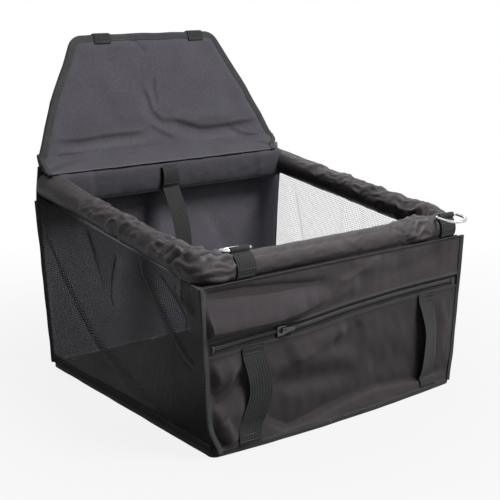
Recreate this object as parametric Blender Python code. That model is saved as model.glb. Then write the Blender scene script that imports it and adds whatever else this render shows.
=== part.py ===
"""Dog car seat: a cloth tub with net sides, hung on a rim of plastic pipes, with a back flap that folds.

Metres, +Z up.  The zipped front faces -Y.  The origin is on the floor, under the middle of the tub.
"""

from math import acos, asin, atan2, cos, hypot, pi, radians, sin, sqrt, tan

import bmesh
import bpy
from mathutils import Vector

# The whole seat
TUB_WIDTH = 0.400
TUB_DEPTH = 0.360
BASE_WIDTH = 0.372
FRONT_RIM_TOP = 0.218
BACK_RIM_TOP = 0.260
SIDE_LEAN = radians(3.4)
GAP = 0.0003

# Rim: pipes, elbows, foam and the sewn sleeves
PIPE_RADIUS = 0.010
PIPE_WALL = 0.0018
ELBOW_WALL = 0.0027
ELBOW_BEND = 0.0138
ELBOW_SOCKET = 0.022
SIDE_SLEEVE_RADIUS = 0.0175
FRONT_SLEEVE_RADIUS = 0.0155
SLEEVE_CLOTH = 0.0009
BAND_HALF_HEIGHT = 0.0215
PIPE_SIDES = 16
SLEEVE_SIDES = 24
ELBOW_STEPS = 5

# Base
BINDING_HEIGHT = 0.007
BINDING_THICKNESS = 0.004
BASE_CLOTH = 0.0012
BOARD_THICKNESS = 0.003
BASE_CORNER = 0.006
BASE_PROUD = 0.001
CORNER_STEPS = 3

# Cloth walls and the pocket
CLOTH = 0.0012
FRONT_TUCK = 0.001
LINING_DEPTH = 0.0037
NET_THICKNESS = 0.0012
NET_HEM = 0.009
NET_STRAND = 0.0026
NET_COLUMNS = 12
NET_ROWS = 7
SEAM_WIDTH = 0.007
SEAM_THICKNESS = 0.0024
SEAM_STANDOFF = 0.0005

# Zip across the front
ZIP_HEIGHT = 0.1292
ZIP_SLOPE = radians(2.2)
ZIP_WINDOW = 0.013
ZIP_END_MARGIN = 0.003
TAPE_WIDTH = 0.012
TAPE_THICKNESS = 0.0008
TAPE_INSET = 0.0005
TOOTH_PITCH = 0.0058
TOOTH_LENGTH = 0.0029
TOOTH_ROOT_SHARE = 0.43
TOOTH_TIP_SHARE = 0.34
RAIL_WIDTH = 0.0013
CHAIN_THICKNESS = 0.0015
STOP_LENGTH = 0.0025
SLIDER_X = -0.0915
SLIDER_LENGTH = 0.0125
SLIDER_NOSE_WIDTH = 0.0112
SLIDER_TAIL_WIDTH = 0.0098
SLIDER_NOSE_SHARE = 0.5
SLIDER_PLATE = 0.0012
SLIDER_WALL = 0.0011
BACK_PLATE_THICKNESS = 0.0008
BACK_PLATE_WIDTH = 0.0085
BAIL_LENGTH = 0.0070
BAIL_WIDTH = 0.0020
BAIL_BAR = 0.0010
BAIL_WINDOW = 0.0026
BAIL_ROOT = 0.0006
PULL_BAR = 0.0011
PULL_WIDTH = 0.0062
PULL_EYE = 0.0046
PULL_LENGTH = 0.0170
PULL_TIP_WIDTH = 0.0044

# Webbing: straps, tabs and loops
WEBBING = 0.0014
FRONT_STRAP_WIDTH = 0.028
LEFT_STRAP_INSET = 0.053
RIGHT_STRAP_INSET = 0.045
STRAP_TOP_DROP = 0.0015
STRAP_BOTTOM = 0.0095
STRAP_SEWN = 0.010
STRAP_STANDOFF = 0.0085
STRAP_STEPS = 12
STRAP_BOW_POWER = 0.8
TAB_WIDTH = 0.0245
LEFT_TAB_INSET = 0.061
RIGHT_TAB_INSET = 0.028
LEFT_EYE_ANGLE = radians(100)
RIGHT_EYE_ANGLE = radians(125)
EYE_WALL = 0.0021
ARC_STEPS = 8
RING_WIRE = 0.00185
RING_WIDTH = 0.038
RING_DEPTH = 0.031
RING_CORNER = 0.004
RING_SIDES = 8
LEFT_RING_DIP = radians(-12)
RIGHT_RING_DIP = radians(186)

# Tether inside the tub, with its snap hook
TETHER_X = -0.018
TETHER_WIDTH = 0.025
TETHER_SEWN_TOP = 0.0145
TETHER_SEWN_END = 0.0120
TETHER_FOLD_ROOM = 0.0005
TETHER_LEAN = 0.030
TETHER_DROP = 0.082
TETHER_STEPS = 8
TETHER_TAIL = 0.010
TETHER_SLIT = 0.016
LOOP_BORE = 0.0020
EYE_ROD = 0.0016
EYE_HALF_WIDTH = 0.0148
EYE_HEIGHT = 0.0066
EYE_CORNER = 0.0028
SWIVEL_RADIUS = 0.0019
SWIVEL_LENGTH = 0.0080
SWIVEL_HEAD_RADIUS = 0.0029
SWIVEL_HEAD = 0.0016
BARREL_RADIUS = 0.0056
BARREL_LENGTH = 0.013
BARREL_LID = 0.0032
BARREL_FLOOR = 0.0020
HOOK_ROD = 0.0021
HOOK_BEND = 0.0070
HOOK_SHANK = 0.016
HOOK_TIP_RISE = 0.0045
HOOK_START_X = -0.0030
LUG_TOP_DROP = 0.004
LUG_HALF_WIDTH = 0.0032
BOLT_RADIUS = 0.0015
BOLT_TOP_DROP = 0.009
BOLT_COLLAR_RADIUS = 0.0027
BOLT_COLLAR = 0.0028
HOOK_SIDES = 12

# Back flap
HINGE_RISE = 0.0125
FLAP_LEAN = radians(15.5)
FLAP_HEIGHT = 0.161
FLAP_BOTTOM_HALF = 0.193
FLAP_SHOULDER_HALF = 0.158
FLAP_SHOULDER_SHARE = 0.48
FLAP_TOP_HALF = 0.108
FLAP_CORNER = 0.016
HEM_RADIUS = 0.0035
FLAP_FOAM = 0.0042
FLAP_CLOTH = 0.0010
FOAM_INSET = 0.004
FLAP_TAPE = 0.0009
FLAP_TAPE_LEG = 0.009
LOOP_X = 0.075
LOOP_WIDTH = 0.0245
LOOP_FRONT_LEG = 0.011
LOOP_STANDOFF = 0.009
LOOP_REAR_RUN = 0.022
LOOP_REAR_RETURN = 0.013
LOOP_FOOT = 0.010

SMOOTH_ANGLE = radians(35)

# Colours as red, green and blue, with roughness and metallic value
CLOTH_FINISH = (0.045, 0.042, 0.045, 0.85, 0.0)
FLAP_FINISH = (0.075, 0.070, 0.085, 0.85, 0.0)
LINING_FINISH = (0.035, 0.033, 0.036, 0.90, 0.0)
BINDING_FINISH = (0.060, 0.065, 0.070, 0.80, 0.0)
WEBBING_FINISH = (0.040, 0.043, 0.042, 0.80, 0.0)
SLEEVE_FINISH = (0.065, 0.060, 0.064, 0.70, 0.0)
NET_FINISH = (0.020, 0.020, 0.022, 0.80, 0.0)
FOAM_FINISH = (0.300, 0.300, 0.290, 0.95, 0.0)
PIPE_FINISH = (0.750, 0.750, 0.730, 0.45, 0.0)
BOARD_FINISH = (0.250, 0.220, 0.180, 0.80, 0.0)
ZIP_FINISH = (0.030, 0.030, 0.030, 0.55, 0.0)
CHROME_FINISH = (0.750, 0.750, 0.760, 0.20, 1.0)
NICKEL_FINISH = (0.300, 0.290, 0.280, 0.30, 1.0)

# Rim centre lines.  The rim plane slopes down to the front.
RIM_X = TUB_WIDTH / 2 - SIDE_SLEEVE_RADIUS
RIM_Y = TUB_DEPTH / 2 - SIDE_SLEEVE_RADIUS
FRONT_PIPE_Z = FRONT_RIM_TOP - FRONT_SLEEVE_RADIUS
BACK_PIPE_Z = BACK_RIM_TOP - SIDE_SLEEVE_RADIUS
RIM_RISE = BACK_PIPE_Z - FRONT_PIPE_Z
RIM_TILT = atan2(RIM_RISE, 2 * RIM_Y)
RIM_V = hypot(RIM_Y, RIM_RISE / 2)
ELBOW_RADIUS = PIPE_RADIUS + GAP + ELBOW_WALL
ELBOW_REACH = ELBOW_BEND + ELBOW_SOCKET

# Wall planes
FRONT_FACE = -RIM_Y - FRONT_SLEEVE_RADIUS - FRONT_TUCK
BACK_FACE = TUB_DEPTH / 2 + GAP
WALL_FOOT = BINDING_HEIGHT + GAP
BASE_FRONT = FRONT_FACE - BASE_PROUD
BASE_BACK = BACK_FACE + CLOTH + BASE_PROUD
SIDE_FACE = BASE_WIDTH / 2 - BASE_PROUD
LINER_TOP = 2 * BASE_CLOTH + BOARD_THICKNESS + 2 * GAP

# Flap hinge line
HINGE_Y = BACK_FACE + CLOTH / 2
HINGE_Z = BACK_RIM_TOP + HINGE_RISE
FLAP_START = HEM_RADIUS + GAP
FACE_FRONT = FLAP_FOAM / 2 + GAP + FLAP_CLOTH


def clear_objects():
    for item in list(bpy.data.objects):
        bpy.data.objects.remove(item, do_unlink=True)


def make_material(name, finish):
    red, green, blue, roughness, metallic = finish
    material = bpy.data.materials.new(name)
    material.use_nodes = True
    shader = material.node_tree.nodes["Principled BSDF"]
    shader.inputs["Base Color"].default_value = (red, green, blue, 1)
    shader.inputs["Roughness"].default_value = roughness
    shader.inputs["Metallic"].default_value = metallic
    material.diffuse_color = (red, green, blue, 1)
    return material


def make_empty(name, location, rotation=(0, 0, 0), parent=None):
    empty = bpy.data.objects.new(name, None)
    empty.location = location
    empty.rotation_euler = rotation
    empty.parent = parent
    bpy.context.scene.collection.objects.link(empty)
    return empty


def add_object(name, bm, finish, parent=None, location=(0, 0, 0), smooth=False):
    """Makes a bmesh into a named object whose faces point out."""
    bmesh.ops.recalc_face_normals(bm, faces=bm.faces)
    mesh = bpy.data.meshes.new(name)
    bm.to_mesh(mesh)
    bm.free()
    mesh.materials.append(make_material(name, finish))
    if smooth:
        mesh.shade_smooth()
        mesh.set_sharp_from_angle(angle=SMOOTH_ANGLE)
    item = bpy.data.objects.new(name, mesh)
    item.location = location
    item.parent = parent
    bpy.context.scene.collection.objects.link(item)
    return item


def join_tool(target, tool, operation):
    """Adds a Boolean with a hidden tool object."""
    tool.hide_render = True
    tool.display_type = "WIRE"
    modifier = target.modifiers.new(operation.lower(), "BOOLEAN")
    modifier.operation = operation
    modifier.object = tool


def add_rings(bm, rings, closed=False):
    """Skins successive rings of points and returns their vertices."""
    skinned = []
    for ring in rings:
        skinned.append([bm.verts.new(point) for point in ring])
    pairs = list(zip(skinned, skinned[1:]))
    if closed:
        pairs.append((skinned[-1], skinned[0]))
    for first, second in pairs:
        for i in range(len(first)):
            j = (i + 1) % len(first)
            bm.faces.new((first[i], first[j], second[j], second[i]))
    return skinned


def bridge_ends(bm, outer, inner):
    for i in range(len(outer)):
        j = (i + 1) % len(outer)
        bm.faces.new((outer[i], outer[j], inner[j], inner[i]))


def loft(rings):
    """A solid through rings of points, with flat ends."""
    bm = bmesh.new()
    skinned = add_rings(bm, rings)
    bm.faces.new(skinned[0])
    bm.faces.new(skinned[-1])
    return bm


def loft_tube(outer_rings, inner_rings):
    """A tube between outer and inner rings, open at both ends."""
    bm = bmesh.new()
    outer = add_rings(bm, outer_rings)
    inner = add_rings(bm, inner_rings)
    bridge_ends(bm, outer[0], inner[0])
    bridge_ends(bm, outer[-1], inner[-1])
    return bm


def loft_loop(rings):
    """A closed loop of rod."""
    bm = bmesh.new()
    add_rings(bm, rings, closed=True)
    return bm


def prism(outline, step):
    """An outline of 3-D points, carried along a vector."""
    step = Vector(step)
    return loft([outline, [Vector(point) + step for point in outline]])


def pierced_prism(outline, hole, step):
    """A prism with one hole through it."""
    bm = bmesh.new()
    for loop in (outline, hole):
        corners = [bm.verts.new(point) for point in loop]
        for i in range(len(corners)):
            bm.edges.new((corners[i], corners[(i + 1) % len(corners)]))
    bmesh.ops.triangle_fill(bm, use_beauty=True, edges=bm.edges[:])
    made = bmesh.ops.extrude_face_region(bm, geom=bm.faces[:])
    moved = [item for item in made["geom"] if isinstance(item, bmesh.types.BMVert)]
    bmesh.ops.translate(bm, verts=moved, vec=Vector(step))
    return bm


def circle(radius, sides, turn=0):
    """Points of a circle as pairs."""
    return [(radius * cos(turn + 2 * pi * i / sides), radius * sin(turn + 2 * pi * i / sides))
            for i in range(sides)]


def arc(centre, radius, start, end, steps):
    """Points along an arc as pairs, both ends included."""
    angles = [start + (end - start) * i / steps for i in range(steps + 1)]
    return [(centre[0] + radius * cos(a), centre[1] + radius * sin(a)) for a in angles]


def unit(pair):
    size = hypot(pair[0], pair[1])
    return (pair[0] / size, pair[1] / size)


def mitre_offsets(points, closed=False):
    """The left-hand mitre vector at each point of a path of pairs."""
    count = len(points)
    result = []
    for i, point in enumerate(points):
        before = points[i - 1] if closed or i > 0 else None
        after = points[(i + 1) % count] if closed or i < count - 1 else None
        if before is None:
            before = (2 * point[0] - after[0], 2 * point[1] - after[1])
        if after is None:
            after = (2 * point[0] - before[0], 2 * point[1] - before[1])
        first = unit((point[0] - before[0], point[1] - before[1]))
        second = unit((after[0] - point[0], after[1] - point[1]))
        middle = unit((first[0] + second[0], first[1] + second[1]))
        stretch = 1 / (middle[0] * first[0] + middle[1] * first[1])
        result.append((-middle[1] * stretch, middle[0] * stretch))
    return result


def offset_path(points, distance, closed=False):
    """A path of pairs moved to its left by a distance."""
    mitres = mitre_offsets(points, closed)
    return [(p[0] + distance * m[0], p[1] + distance * m[1]) for p, m in zip(points, mitres)]


def ribbon(points, thickness):
    """The outline of a ribbon of one thickness along a path of pairs."""
    left = offset_path(points, thickness / 2)
    right = offset_path(points, -thickness / 2)
    return left + right[::-1]


def fillet(before, corner, after, radius, steps):
    """An arc that rounds one corner of an outline, as pairs."""
    into = unit((corner[0] - before[0], corner[1] - before[1]))
    out = unit((after[0] - corner[0], after[1] - corner[1]))
    turn = acos(into[0] * out[0] + into[1] * out[1])
    reach = radius * tan(turn / 2)
    side = 1 if into[0] * out[1] - into[1] * out[0] > 0 else -1
    start = (corner[0] - into[0] * reach, corner[1] - into[1] * reach)
    centre = (start[0] - into[1] * radius * side, start[1] + into[0] * radius * side)
    first = atan2(start[1] - centre[1], start[0] - centre[0])
    return arc(centre, radius, first, first + side * turn, steps)


def rounded_rectangle(left, right, low, high, radius, steps):
    """A rectangle with round corners, counterclockwise, as pairs."""
    corners = [(right, high), (left, high), (left, low), (right, low)]
    outline = []
    for i, corner in enumerate(corners):
        outline += fillet(corners[i - 1], corner, corners[(i + 1) % len(corners)], radius, steps)
    return outline


def side_x(height):
    """Half width over the side walls at a height."""
    return SIDE_FACE + height * tan(SIDE_LEAN)


def wall_x(height):
    """Half width of the front and back walls, between the side walls."""
    return side_x(height) - NET_THICKNESS - GAP


def pipe_z(y):
    """Height of the side pipes' centre line."""
    return (FRONT_PIPE_Z + BACK_PIPE_Z) / 2 + y * tan(RIM_TILT)


def zip_z(x):
    """Height of the zip's middle line on the front."""
    return ZIP_HEIGHT + x * tan(ZIP_SLOPE)


def window_corner(side, edge):
    """Where an edge of the zip's window meets a side wall, as x and z."""
    z = zip_z(side * wall_x(ZIP_HEIGHT)) + edge * ZIP_WINDOW / 2 / cos(ZIP_SLOPE)
    return (side * wall_x(z), z)


def under_sleeve(radius, reach):
    """How far below a sleeve's axis a wall that is this far to one side may rise."""
    return sqrt(max((radius + GAP) ** 2 - reach ** 2, 0))


def front_top_drop():
    """How far the front wall's top edge lies below the front sleeve's axis."""
    return under_sleeve(FRONT_SLEEVE_RADIUS, -RIM_Y - FRONT_FACE - CLOTH)


def on_front(pairs, depth):
    """Outline points given as x and z, at a depth behind the front face."""
    return [Vector((x, FRONT_FACE + depth, z)) for x, z in pairs]


def make_base():
    outer = rounded_rectangle(-BASE_WIDTH / 2, BASE_WIDTH / 2, BASE_FRONT, BASE_BACK, BASE_CORNER,
                              CORNER_STEPS)
    inner = offset_path(outer, BINDING_THICKNESS, closed=True)
    rings = [[Vector((x, y, 0)) for x, y in outer], [Vector((x, y, BINDING_HEIGHT)) for x, y in outer],
             [Vector((x, y, BINDING_HEIGHT)) for x, y in inner], [Vector((x, y, 0)) for x, y in inner]]
    bm = bmesh.new()
    add_rings(bm, rings, closed=True)
    add_object("base_binding", bm, BINDING_FINISH)
    inside = offset_path(outer, BINDING_THICKNESS + GAP, closed=True)
    low = 0
    layers = [("base_cloth", BASE_CLOTH, CLOTH_FINISH), ("base_board", BOARD_THICKNESS, BOARD_FINISH),
              ("base_liner", BASE_CLOTH, LINING_FINISH)]
    for name, thickness, finish in layers:
        outline = [Vector((x, y, low)) for x, y in inside]
        add_object(name, prism(outline, (0, 0, thickness)), finish)
        low += thickness + GAP


def make_front():
    """Upper panel, pocket face and lining."""
    top = FRONT_PIPE_Z - front_top_drop()
    upper = [window_corner(-1, 1), window_corner(1, 1), (wall_x(top), top), (-wall_x(top), top)]
    add_object("front_upper_panel", prism(on_front(upper, 0), (0, CLOTH, 0)), CLOTH_FINISH)
    foot = wall_x(WALL_FOOT)
    lower = [(-foot, WALL_FOOT), (foot, WALL_FOOT), window_corner(1, -1), window_corner(-1, -1)]
    add_object("pocket_face", prism(on_front(lower, 0), (0, CLOTH, 0)), CLOTH_FINISH)
    lining_y = FRONT_FACE + LINING_DEPTH + CLOTH
    lining_top = FRONT_PIPE_Z - under_sleeve(FRONT_SLEEVE_RADIUS, -RIM_Y - lining_y)
    lining_foot = BASE_WIDTH / 2 - max(BASE_CORNER, BINDING_THICKNESS) - GAP
    low = LINER_TOP + GAP
    lining = [(-lining_foot, low), (lining_foot, low), (wall_x(lining_top), lining_top),
              (-wall_x(lining_top), lining_top)]
    add_object("front_lining", prism(on_front(lining, LINING_DEPTH), (0, CLOTH, 0)), LINING_FINISH)


def make_back():
    """Back wall: full width up to the rim, then in to the flap's foot."""
    top = HINGE_Z - HEM_RADIUS - GAP
    shoulder = BACK_PIPE_Z - SIDE_SLEEVE_RADIUS
    right = [(wall_x(WALL_FOOT), WALL_FOOT), (wall_x(shoulder), shoulder), (FLAP_BOTTOM_HALF, top)]
    outline = right + [(-x, z) for x, z in right[::-1]]
    points = [Vector((x, BACK_FACE, z)) for x, z in outline]
    add_object("back_panel", prism(points, (0, CLOTH, 0)), FLAP_FINISH)


def net_lines(length, gaps):
    """Shares of a length where the hem, the strands and the gaps begin and end."""
    opening = (length - 2 * NET_HEM - (gaps - 1) * NET_STRAND) / gaps
    places = [0]
    for i in range(gaps):
        start = NET_HEM + i * (opening + NET_STRAND)
        places += [start, start + opening]
    places.append(length)
    return [place / length for place in places]


def make_net(name, side):
    """A side wall of net with its hem, as one sheet with square gaps."""
    front, back = FRONT_FACE, BACK_FACE + CLOTH
    tops = []
    for y in (front, back):
        reach = side_x(pipe_z(y) - SIDE_SLEEVE_RADIUS) - NET_THICKNESS - RIM_X
        tops.append(pipe_z(y) - under_sleeve(SIDE_SLEEVE_RADIUS, reach) / cos(RIM_TILT))
    front_top, back_top = tops
    columns = net_lines(back - front, NET_COLUMNS)
    rows = net_lines((front_top + back_top) / 2 - WALL_FOOT, NET_ROWS)
    bm = bmesh.new()
    sheets = []
    for inset in (0, NET_THICKNESS):
        grid = []
        for row in rows:
            line = []
            for column in columns:
                top = front_top + column * (back_top - front_top)
                z = WALL_FOOT + row * (top - WALL_FOOT)
                x = side * (side_x(z) - inset)
                line.append(bm.verts.new((x, front + column * (back - front), z)))
            grid.append(line)
        sheets.append(grid)
    outer, inner_sheet = sheets
    last_row, last_column = len(rows) - 1, len(columns) - 1
    solid = {}
    for i in range(last_row):
        for j in range(last_column):
            solid[i, j] = not (i % 2 == 1 and j % 2 == 1)
    for (i, j), filled in solid.items():
        if not filled:
            continue
        for grid in sheets:
            bm.faces.new((grid[i][j], grid[i][j + 1], grid[i + 1][j + 1], grid[i + 1][j]))
        edges = {(i - 1, j): ((i, j), (i, j + 1)), (i + 1, j): ((i + 1, j), (i + 1, j + 1)),
                 (i, j - 1): ((i, j), (i + 1, j)), (i, j + 1): ((i, j + 1), (i + 1, j + 1))}
        for neighbour, (first, second) in edges.items():
            if solid.get(neighbour, False):
                continue
            corners = [outer[first[0]][first[1]], outer[second[0]][second[1]],
                       inner_sheet[second[0]][second[1]], inner_sheet[first[0]][first[1]]]
            bm.faces.new(corners)
    add_object(name, bm, NET_FINISH)


def make_corner_seam(name, side, front):
    """A bound seam that stands out from one upright corner of the tub."""
    corner_y = FRONT_FACE if front else BACK_FACE + CLOTH
    out_y = -1 if front else 1
    pipe = FRONT_PIPE_Z if front else BACK_PIPE_Z
    top = pipe - SIDE_SLEEVE_RADIUS - GAP
    diagonal = cos(pi / 4)
    rings = []
    for z in (WALL_FOOT, top):
        ring = []
        for out, across in ((SEAM_STANDOFF, -1), (SEAM_WIDTH, -1), (SEAM_WIDTH, 1), (SEAM_STANDOFF, 1)):
            sideways = across * SEAM_THICKNESS / 2
            x = side * (side_x(z) + (out + sideways) * diagonal)
            y = corner_y + out_y * (out - sideways) * diagonal
            ring.append(Vector((x, y, z)))
        rings.append(ring)
    add_object(name, loft(rings), BINDING_FINISH)


def rim_sides():
    """Each side of the rim: start corner, direction along it, direction into the tub, and length."""
    across, along = Vector((1, 0, 0)), Vector((0, 1, 0))
    front_left, back_left = Vector((-RIM_X, -RIM_V, 0)), Vector((-RIM_X, RIM_V, 0))
    front_right = Vector((RIM_X, -RIM_V, 0))
    return {"front": (front_left, across, along, 2 * RIM_X), "rear": (back_left, across, -along, 2 * RIM_X),
            "left": (front_left, along, across, 2 * RIM_V), "right": (front_right, along, -across, 2 * RIM_V)}


def round_offsets(direction, radius, sides):
    """A circle of offsets square to a direction in the rim plane."""
    up = Vector((0, 0, 1))
    level = direction.cross(up)
    return [level * a + up * b for a, b in circle(radius, sides)]


def band_offsets(thickness):
    """The rear tunnel's upright oval, as offsets in the rim frame."""
    offsets = []
    for a, b in circle(1, SLEEVE_SIDES):
        y = a * (SIDE_SLEEVE_RADIUS - thickness)
        z = b * (BAND_HALF_HEIGHT - thickness)
        along = y * cos(RIM_TILT) + z * sin(RIM_TILT)
        above = z * cos(RIM_TILT) - y * sin(RIM_TILT)
        offsets.append(Vector((0, along, above)))
    return offsets


def mitred_rings(side, offsets):
    """End rings of a sleeve, cut square to the corners' diagonals."""
    corner, along, inward, length = side
    start, end = [], []
    for offset in offsets:
        cut = offset.dot(inward) + GAP
        start.append(corner + along * cut + offset)
        end.append(corner + along * (length - cut) + offset)
    return [start, end]


def square_rings(side, margin, radius, sides):
    corner, along, _, length = side
    offsets = round_offsets(along, radius, sides)
    return [[corner + along * margin + o for o in offsets],
            [corner + along * (length - margin) + o for o in offsets]]


def make_sleeves(rim):
    sides = rim_sides()
    radii = {"front": FRONT_SLEEVE_RADIUS, "left": SIDE_SLEEVE_RADIUS, "right": SIDE_SLEEVE_RADIUS}
    for key, radius in radii.items():
        side = sides[key]
        outer = mitred_rings(side, round_offsets(side[1], radius, SLEEVE_SIDES))
        inner = mitred_rings(side, round_offsets(side[1], radius - SLEEVE_CLOTH, SLEEVE_SIDES))
        add_object(key + "_sleeve", loft_tube(outer, inner), SLEEVE_FINISH, rim, smooth=True)
        foam_radius = radius - SLEEVE_CLOTH - GAP
        margin = ELBOW_REACH + GAP
        outer = square_rings(side, margin, foam_radius, PIPE_SIDES)
        inner = square_rings(side, margin, (PIPE_RADIUS + GAP) / cos(pi / PIPE_SIDES), PIPE_SIDES)
        add_object(key + "_foam", loft_tube(outer, inner), FOAM_FINISH, rim, smooth=True)
    band = sides["rear"]
    outer = mitred_rings(band, band_offsets(0))
    inner = mitred_rings(band, band_offsets(SLEEVE_CLOTH))
    add_object("rear_sleeve", loft_tube(outer, inner), SLEEVE_FINISH, rim, smooth=True)


def make_pipes(rim):
    for key, side in rim_sides().items():
        outer = square_rings(side, ELBOW_BEND + GAP, PIPE_RADIUS, PIPE_SIDES)
        inner = square_rings(side, ELBOW_BEND + GAP, PIPE_RADIUS - PIPE_WALL, PIPE_SIDES)
        add_object(key + "_pipe", loft_tube(outer, inner), PIPE_FINISH, rim, smooth=True)


def elbow_ring(corner, first, second, place, radius):
    """One ring of an elbow: place runs from -1 at the first socket's mouth to 2 at the second's."""
    up = Vector((0, 0, 1))
    pivot = corner + (first + second) * ELBOW_BEND
    if place <= 0:
        centre = corner + first * (ELBOW_BEND - place * ELBOW_SOCKET)
        outward = -second
    elif place >= 1:
        centre = corner + second * (ELBOW_BEND + (place - 1) * ELBOW_SOCKET)
        outward = -first
    else:
        turn = place * pi / 2
        outward = -second * cos(turn) - first * sin(turn)
        centre = pivot + outward * ELBOW_BEND
    return [centre + outward * a + up * b for a, b in circle(radius, PIPE_SIDES)]


def make_elbows(rim):
    across, along = Vector((1, 0, 0)), Vector((0, 1, 0))
    corners = {"front_left": (-1, -1), "front_right": (1, -1), "rear_left": (-1, 1), "rear_right": (1, 1)}
    bend = [i / ELBOW_STEPS for i in range(ELBOW_STEPS + 1)]
    socket = (PIPE_RADIUS + GAP) / cos(pi / PIPE_SIDES)
    bore = PIPE_RADIUS - PIPE_WALL
    for key, (x, y) in corners.items():
        corner = Vector((x * RIM_X, y * RIM_V, 0))
        first, second = -x * across, -y * along
        outer = [elbow_ring(corner, first, second, place, ELBOW_RADIUS) for place in [-1] + bend + [2]]
        inner = [elbow_ring(corner, first, second, -1, socket), elbow_ring(corner, first, second, 0, socket)]
        inner += [elbow_ring(corner, first, second, place, bore) for place in bend]
        inner += [elbow_ring(corner, first, second, 1, socket), elbow_ring(corner, first, second, 2, socket)]
        add_object(key + "_elbow", loft_tube(outer, inner), PIPE_FINISH, rim, smooth=True)


def zip_half_length():
    return wall_x(ZIP_HEIGHT) - ZIP_END_MARGIN


def box_points(x, y, z):
    """Corner ring of a box's face and its run, from pairs of limits."""
    ring = [Vector((x[0], y[0], z[0])), Vector((x[1], y[0], z[0])), Vector((x[1], y[0], z[1])),
            Vector((x[0], y[0], z[1]))]
    return prism(ring, (0, y[1] - y[0], 0))


def make_zip(line):
    """Two tapes and two combs of teeth that mesh, with a stop at each end."""
    half = zip_half_length()
    tape_front = CLOTH + GAP
    limits_y = (tape_front, tape_front + TAPE_THICKNESS)
    chain_half = half - STOP_LENGTH - GAP
    chain_y = tape_front - GAP - CHAIN_THICKNESS
    reach = TOOTH_LENGTH / 2
    count = int(2 * chain_half / TOOTH_PITCH)
    for name, side in (("upper", 1), ("lower", -1)):
        limits_z = sorted((side * TAPE_INSET, side * TAPE_WIDTH))
        add_object("zip_tape_" + name, box_points((-half, half), limits_y, limits_z), ZIP_FINISH, line)
        rail_in, rail_out = side * (reach + GAP), side * (reach + GAP + RAIL_WIDTH)
        tip = -side * reach
        outline = [(-chain_half, rail_out), (-chain_half, rail_in)]
        phase = 0 if side > 0 else TOOTH_PITCH / 2
        first = -chain_half + TOOTH_PITCH / 4 + phase
        for i in range(count):
            left = first + i * TOOTH_PITCH
            root = TOOTH_PITCH * TOOTH_ROOT_SHARE
            end = TOOTH_PITCH * TOOTH_TIP_SHARE
            middle = left + root / 2
            if middle + root / 2 > chain_half:
                break
            outline += [(middle - root / 2, rail_in), (middle - end / 2, tip), (middle + end / 2, tip),
                        (middle + root / 2, rail_in)]
        outline += [(chain_half, rail_in), (chain_half, rail_out)]
        points = [Vector((x, chain_y, z)) for x, z in outline]
        add_object("zip_teeth_" + name, prism(points, (0, CHAIN_THICKNESS, 0)), ZIP_FINISH, line)
    stop_half = reach + GAP + RAIL_WIDTH
    for name, side in (("left", -1), ("right", 1)):
        limits_x = sorted((side * half, side * (half - STOP_LENGTH)))
        part = box_points(limits_x, (chain_y, tape_front - GAP), (-stop_half, stop_half))
        add_object("zip_stop_" + name, part, NICKEL_FINISH, line)


def make_slider(line):
    """Slider over the teeth with its bail, a plate behind the tapes, and the pull on the bail."""
    tape_front = CLOTH + GAP
    under = tape_front - 2 * GAP - CHAIN_THICKNESS
    top = under - SLIDER_PLATE
    low = tape_front - GAP
    rings = []
    stations = [(0, SLIDER_TAIL_WIDTH), (SLIDER_NOSE_SHARE, SLIDER_NOSE_WIDTH), (1, SLIDER_NOSE_WIDTH)]
    for share, width in stations:
        x = share * SLIDER_LENGTH - SLIDER_LENGTH / 2
        outer, inner = width / 2, width / 2 - SLIDER_WALL
        profile = [(outer, low), (outer, top), (-outer, top), (-outer, low), (-inner, low), (-inner, under),
                   (inner, under), (inner, low)]
        rings.append([Vector((-x, y, z)) for z, y in profile])
    place = make_empty("zip_slider_place", (SLIDER_X, 0, 0), parent=line)
    slider = add_object("zip_slider", loft(rings), NICKEL_FINISH, place)
    crown = top - BAIL_WINDOW - BAIL_BAR
    foot = top + BAIL_ROOT
    half, bar = BAIL_LENGTH / 2, BAIL_BAR
    outline = [(-half, foot), (half, foot), (half, top), (half - bar, crown), (bar - half, crown),
               (-half, top)]
    window = arc((0, top - BAIL_WINDOW / 2), BAIL_WINDOW / 2, 0, 2 * pi, ARC_STEPS)[:-1]
    bail = pierced_prism([Vector((x, y, -BAIL_WIDTH / 2)) for x, y in outline],
                         [Vector((x, y, -BAIL_WIDTH / 2)) for x, y in window], (0, 0, BAIL_WIDTH))
    join_tool(slider, add_object("bail_tool", bail, NICKEL_FINISH, place), "UNION")
    plate_y = (tape_front + TAPE_THICKNESS + GAP, tape_front + TAPE_THICKNESS + GAP + BACK_PLATE_THICKNESS)
    half_plate = BACK_PLATE_WIDTH / 2
    back = box_points((-SLIDER_LENGTH / 2, SLIDER_LENGTH / 2), plate_y, (-half_plate, half_plate))
    add_object("zip_slider_back", back, NICKEL_FINISH, place)
    pivot = make_empty("zip_pull_pivot", (0, top - BAIL_WINDOW / 2, 0), parent=place)
    bar_half, tip_half = PULL_WIDTH / 2, PULL_TIP_WIDTH / 2
    outline = [(-PULL_BAR / 2, -bar_half), (PULL_EYE + PULL_BAR, -bar_half), (PULL_LENGTH, -tip_half),
               (PULL_LENGTH + tip_half / 2, 0), (PULL_LENGTH, tip_half), (PULL_EYE + PULL_BAR, bar_half),
               (-PULL_BAR / 2, bar_half)]
    eye_half = BAIL_WIDTH / 2 + GAP
    eye = [(PULL_BAR / 2, -eye_half), (PULL_EYE, -eye_half), (PULL_EYE, eye_half), (PULL_BAR / 2, eye_half)]
    pull = pierced_prism([Vector((x, -PULL_BAR / 2, z)) for x, z in outline],
                         [Vector((x, -PULL_BAR / 2, z)) for x, z in eye], (0, PULL_BAR, 0))
    add_object("zip_pull", pull, NICKEL_FINISH, pivot)


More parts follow.
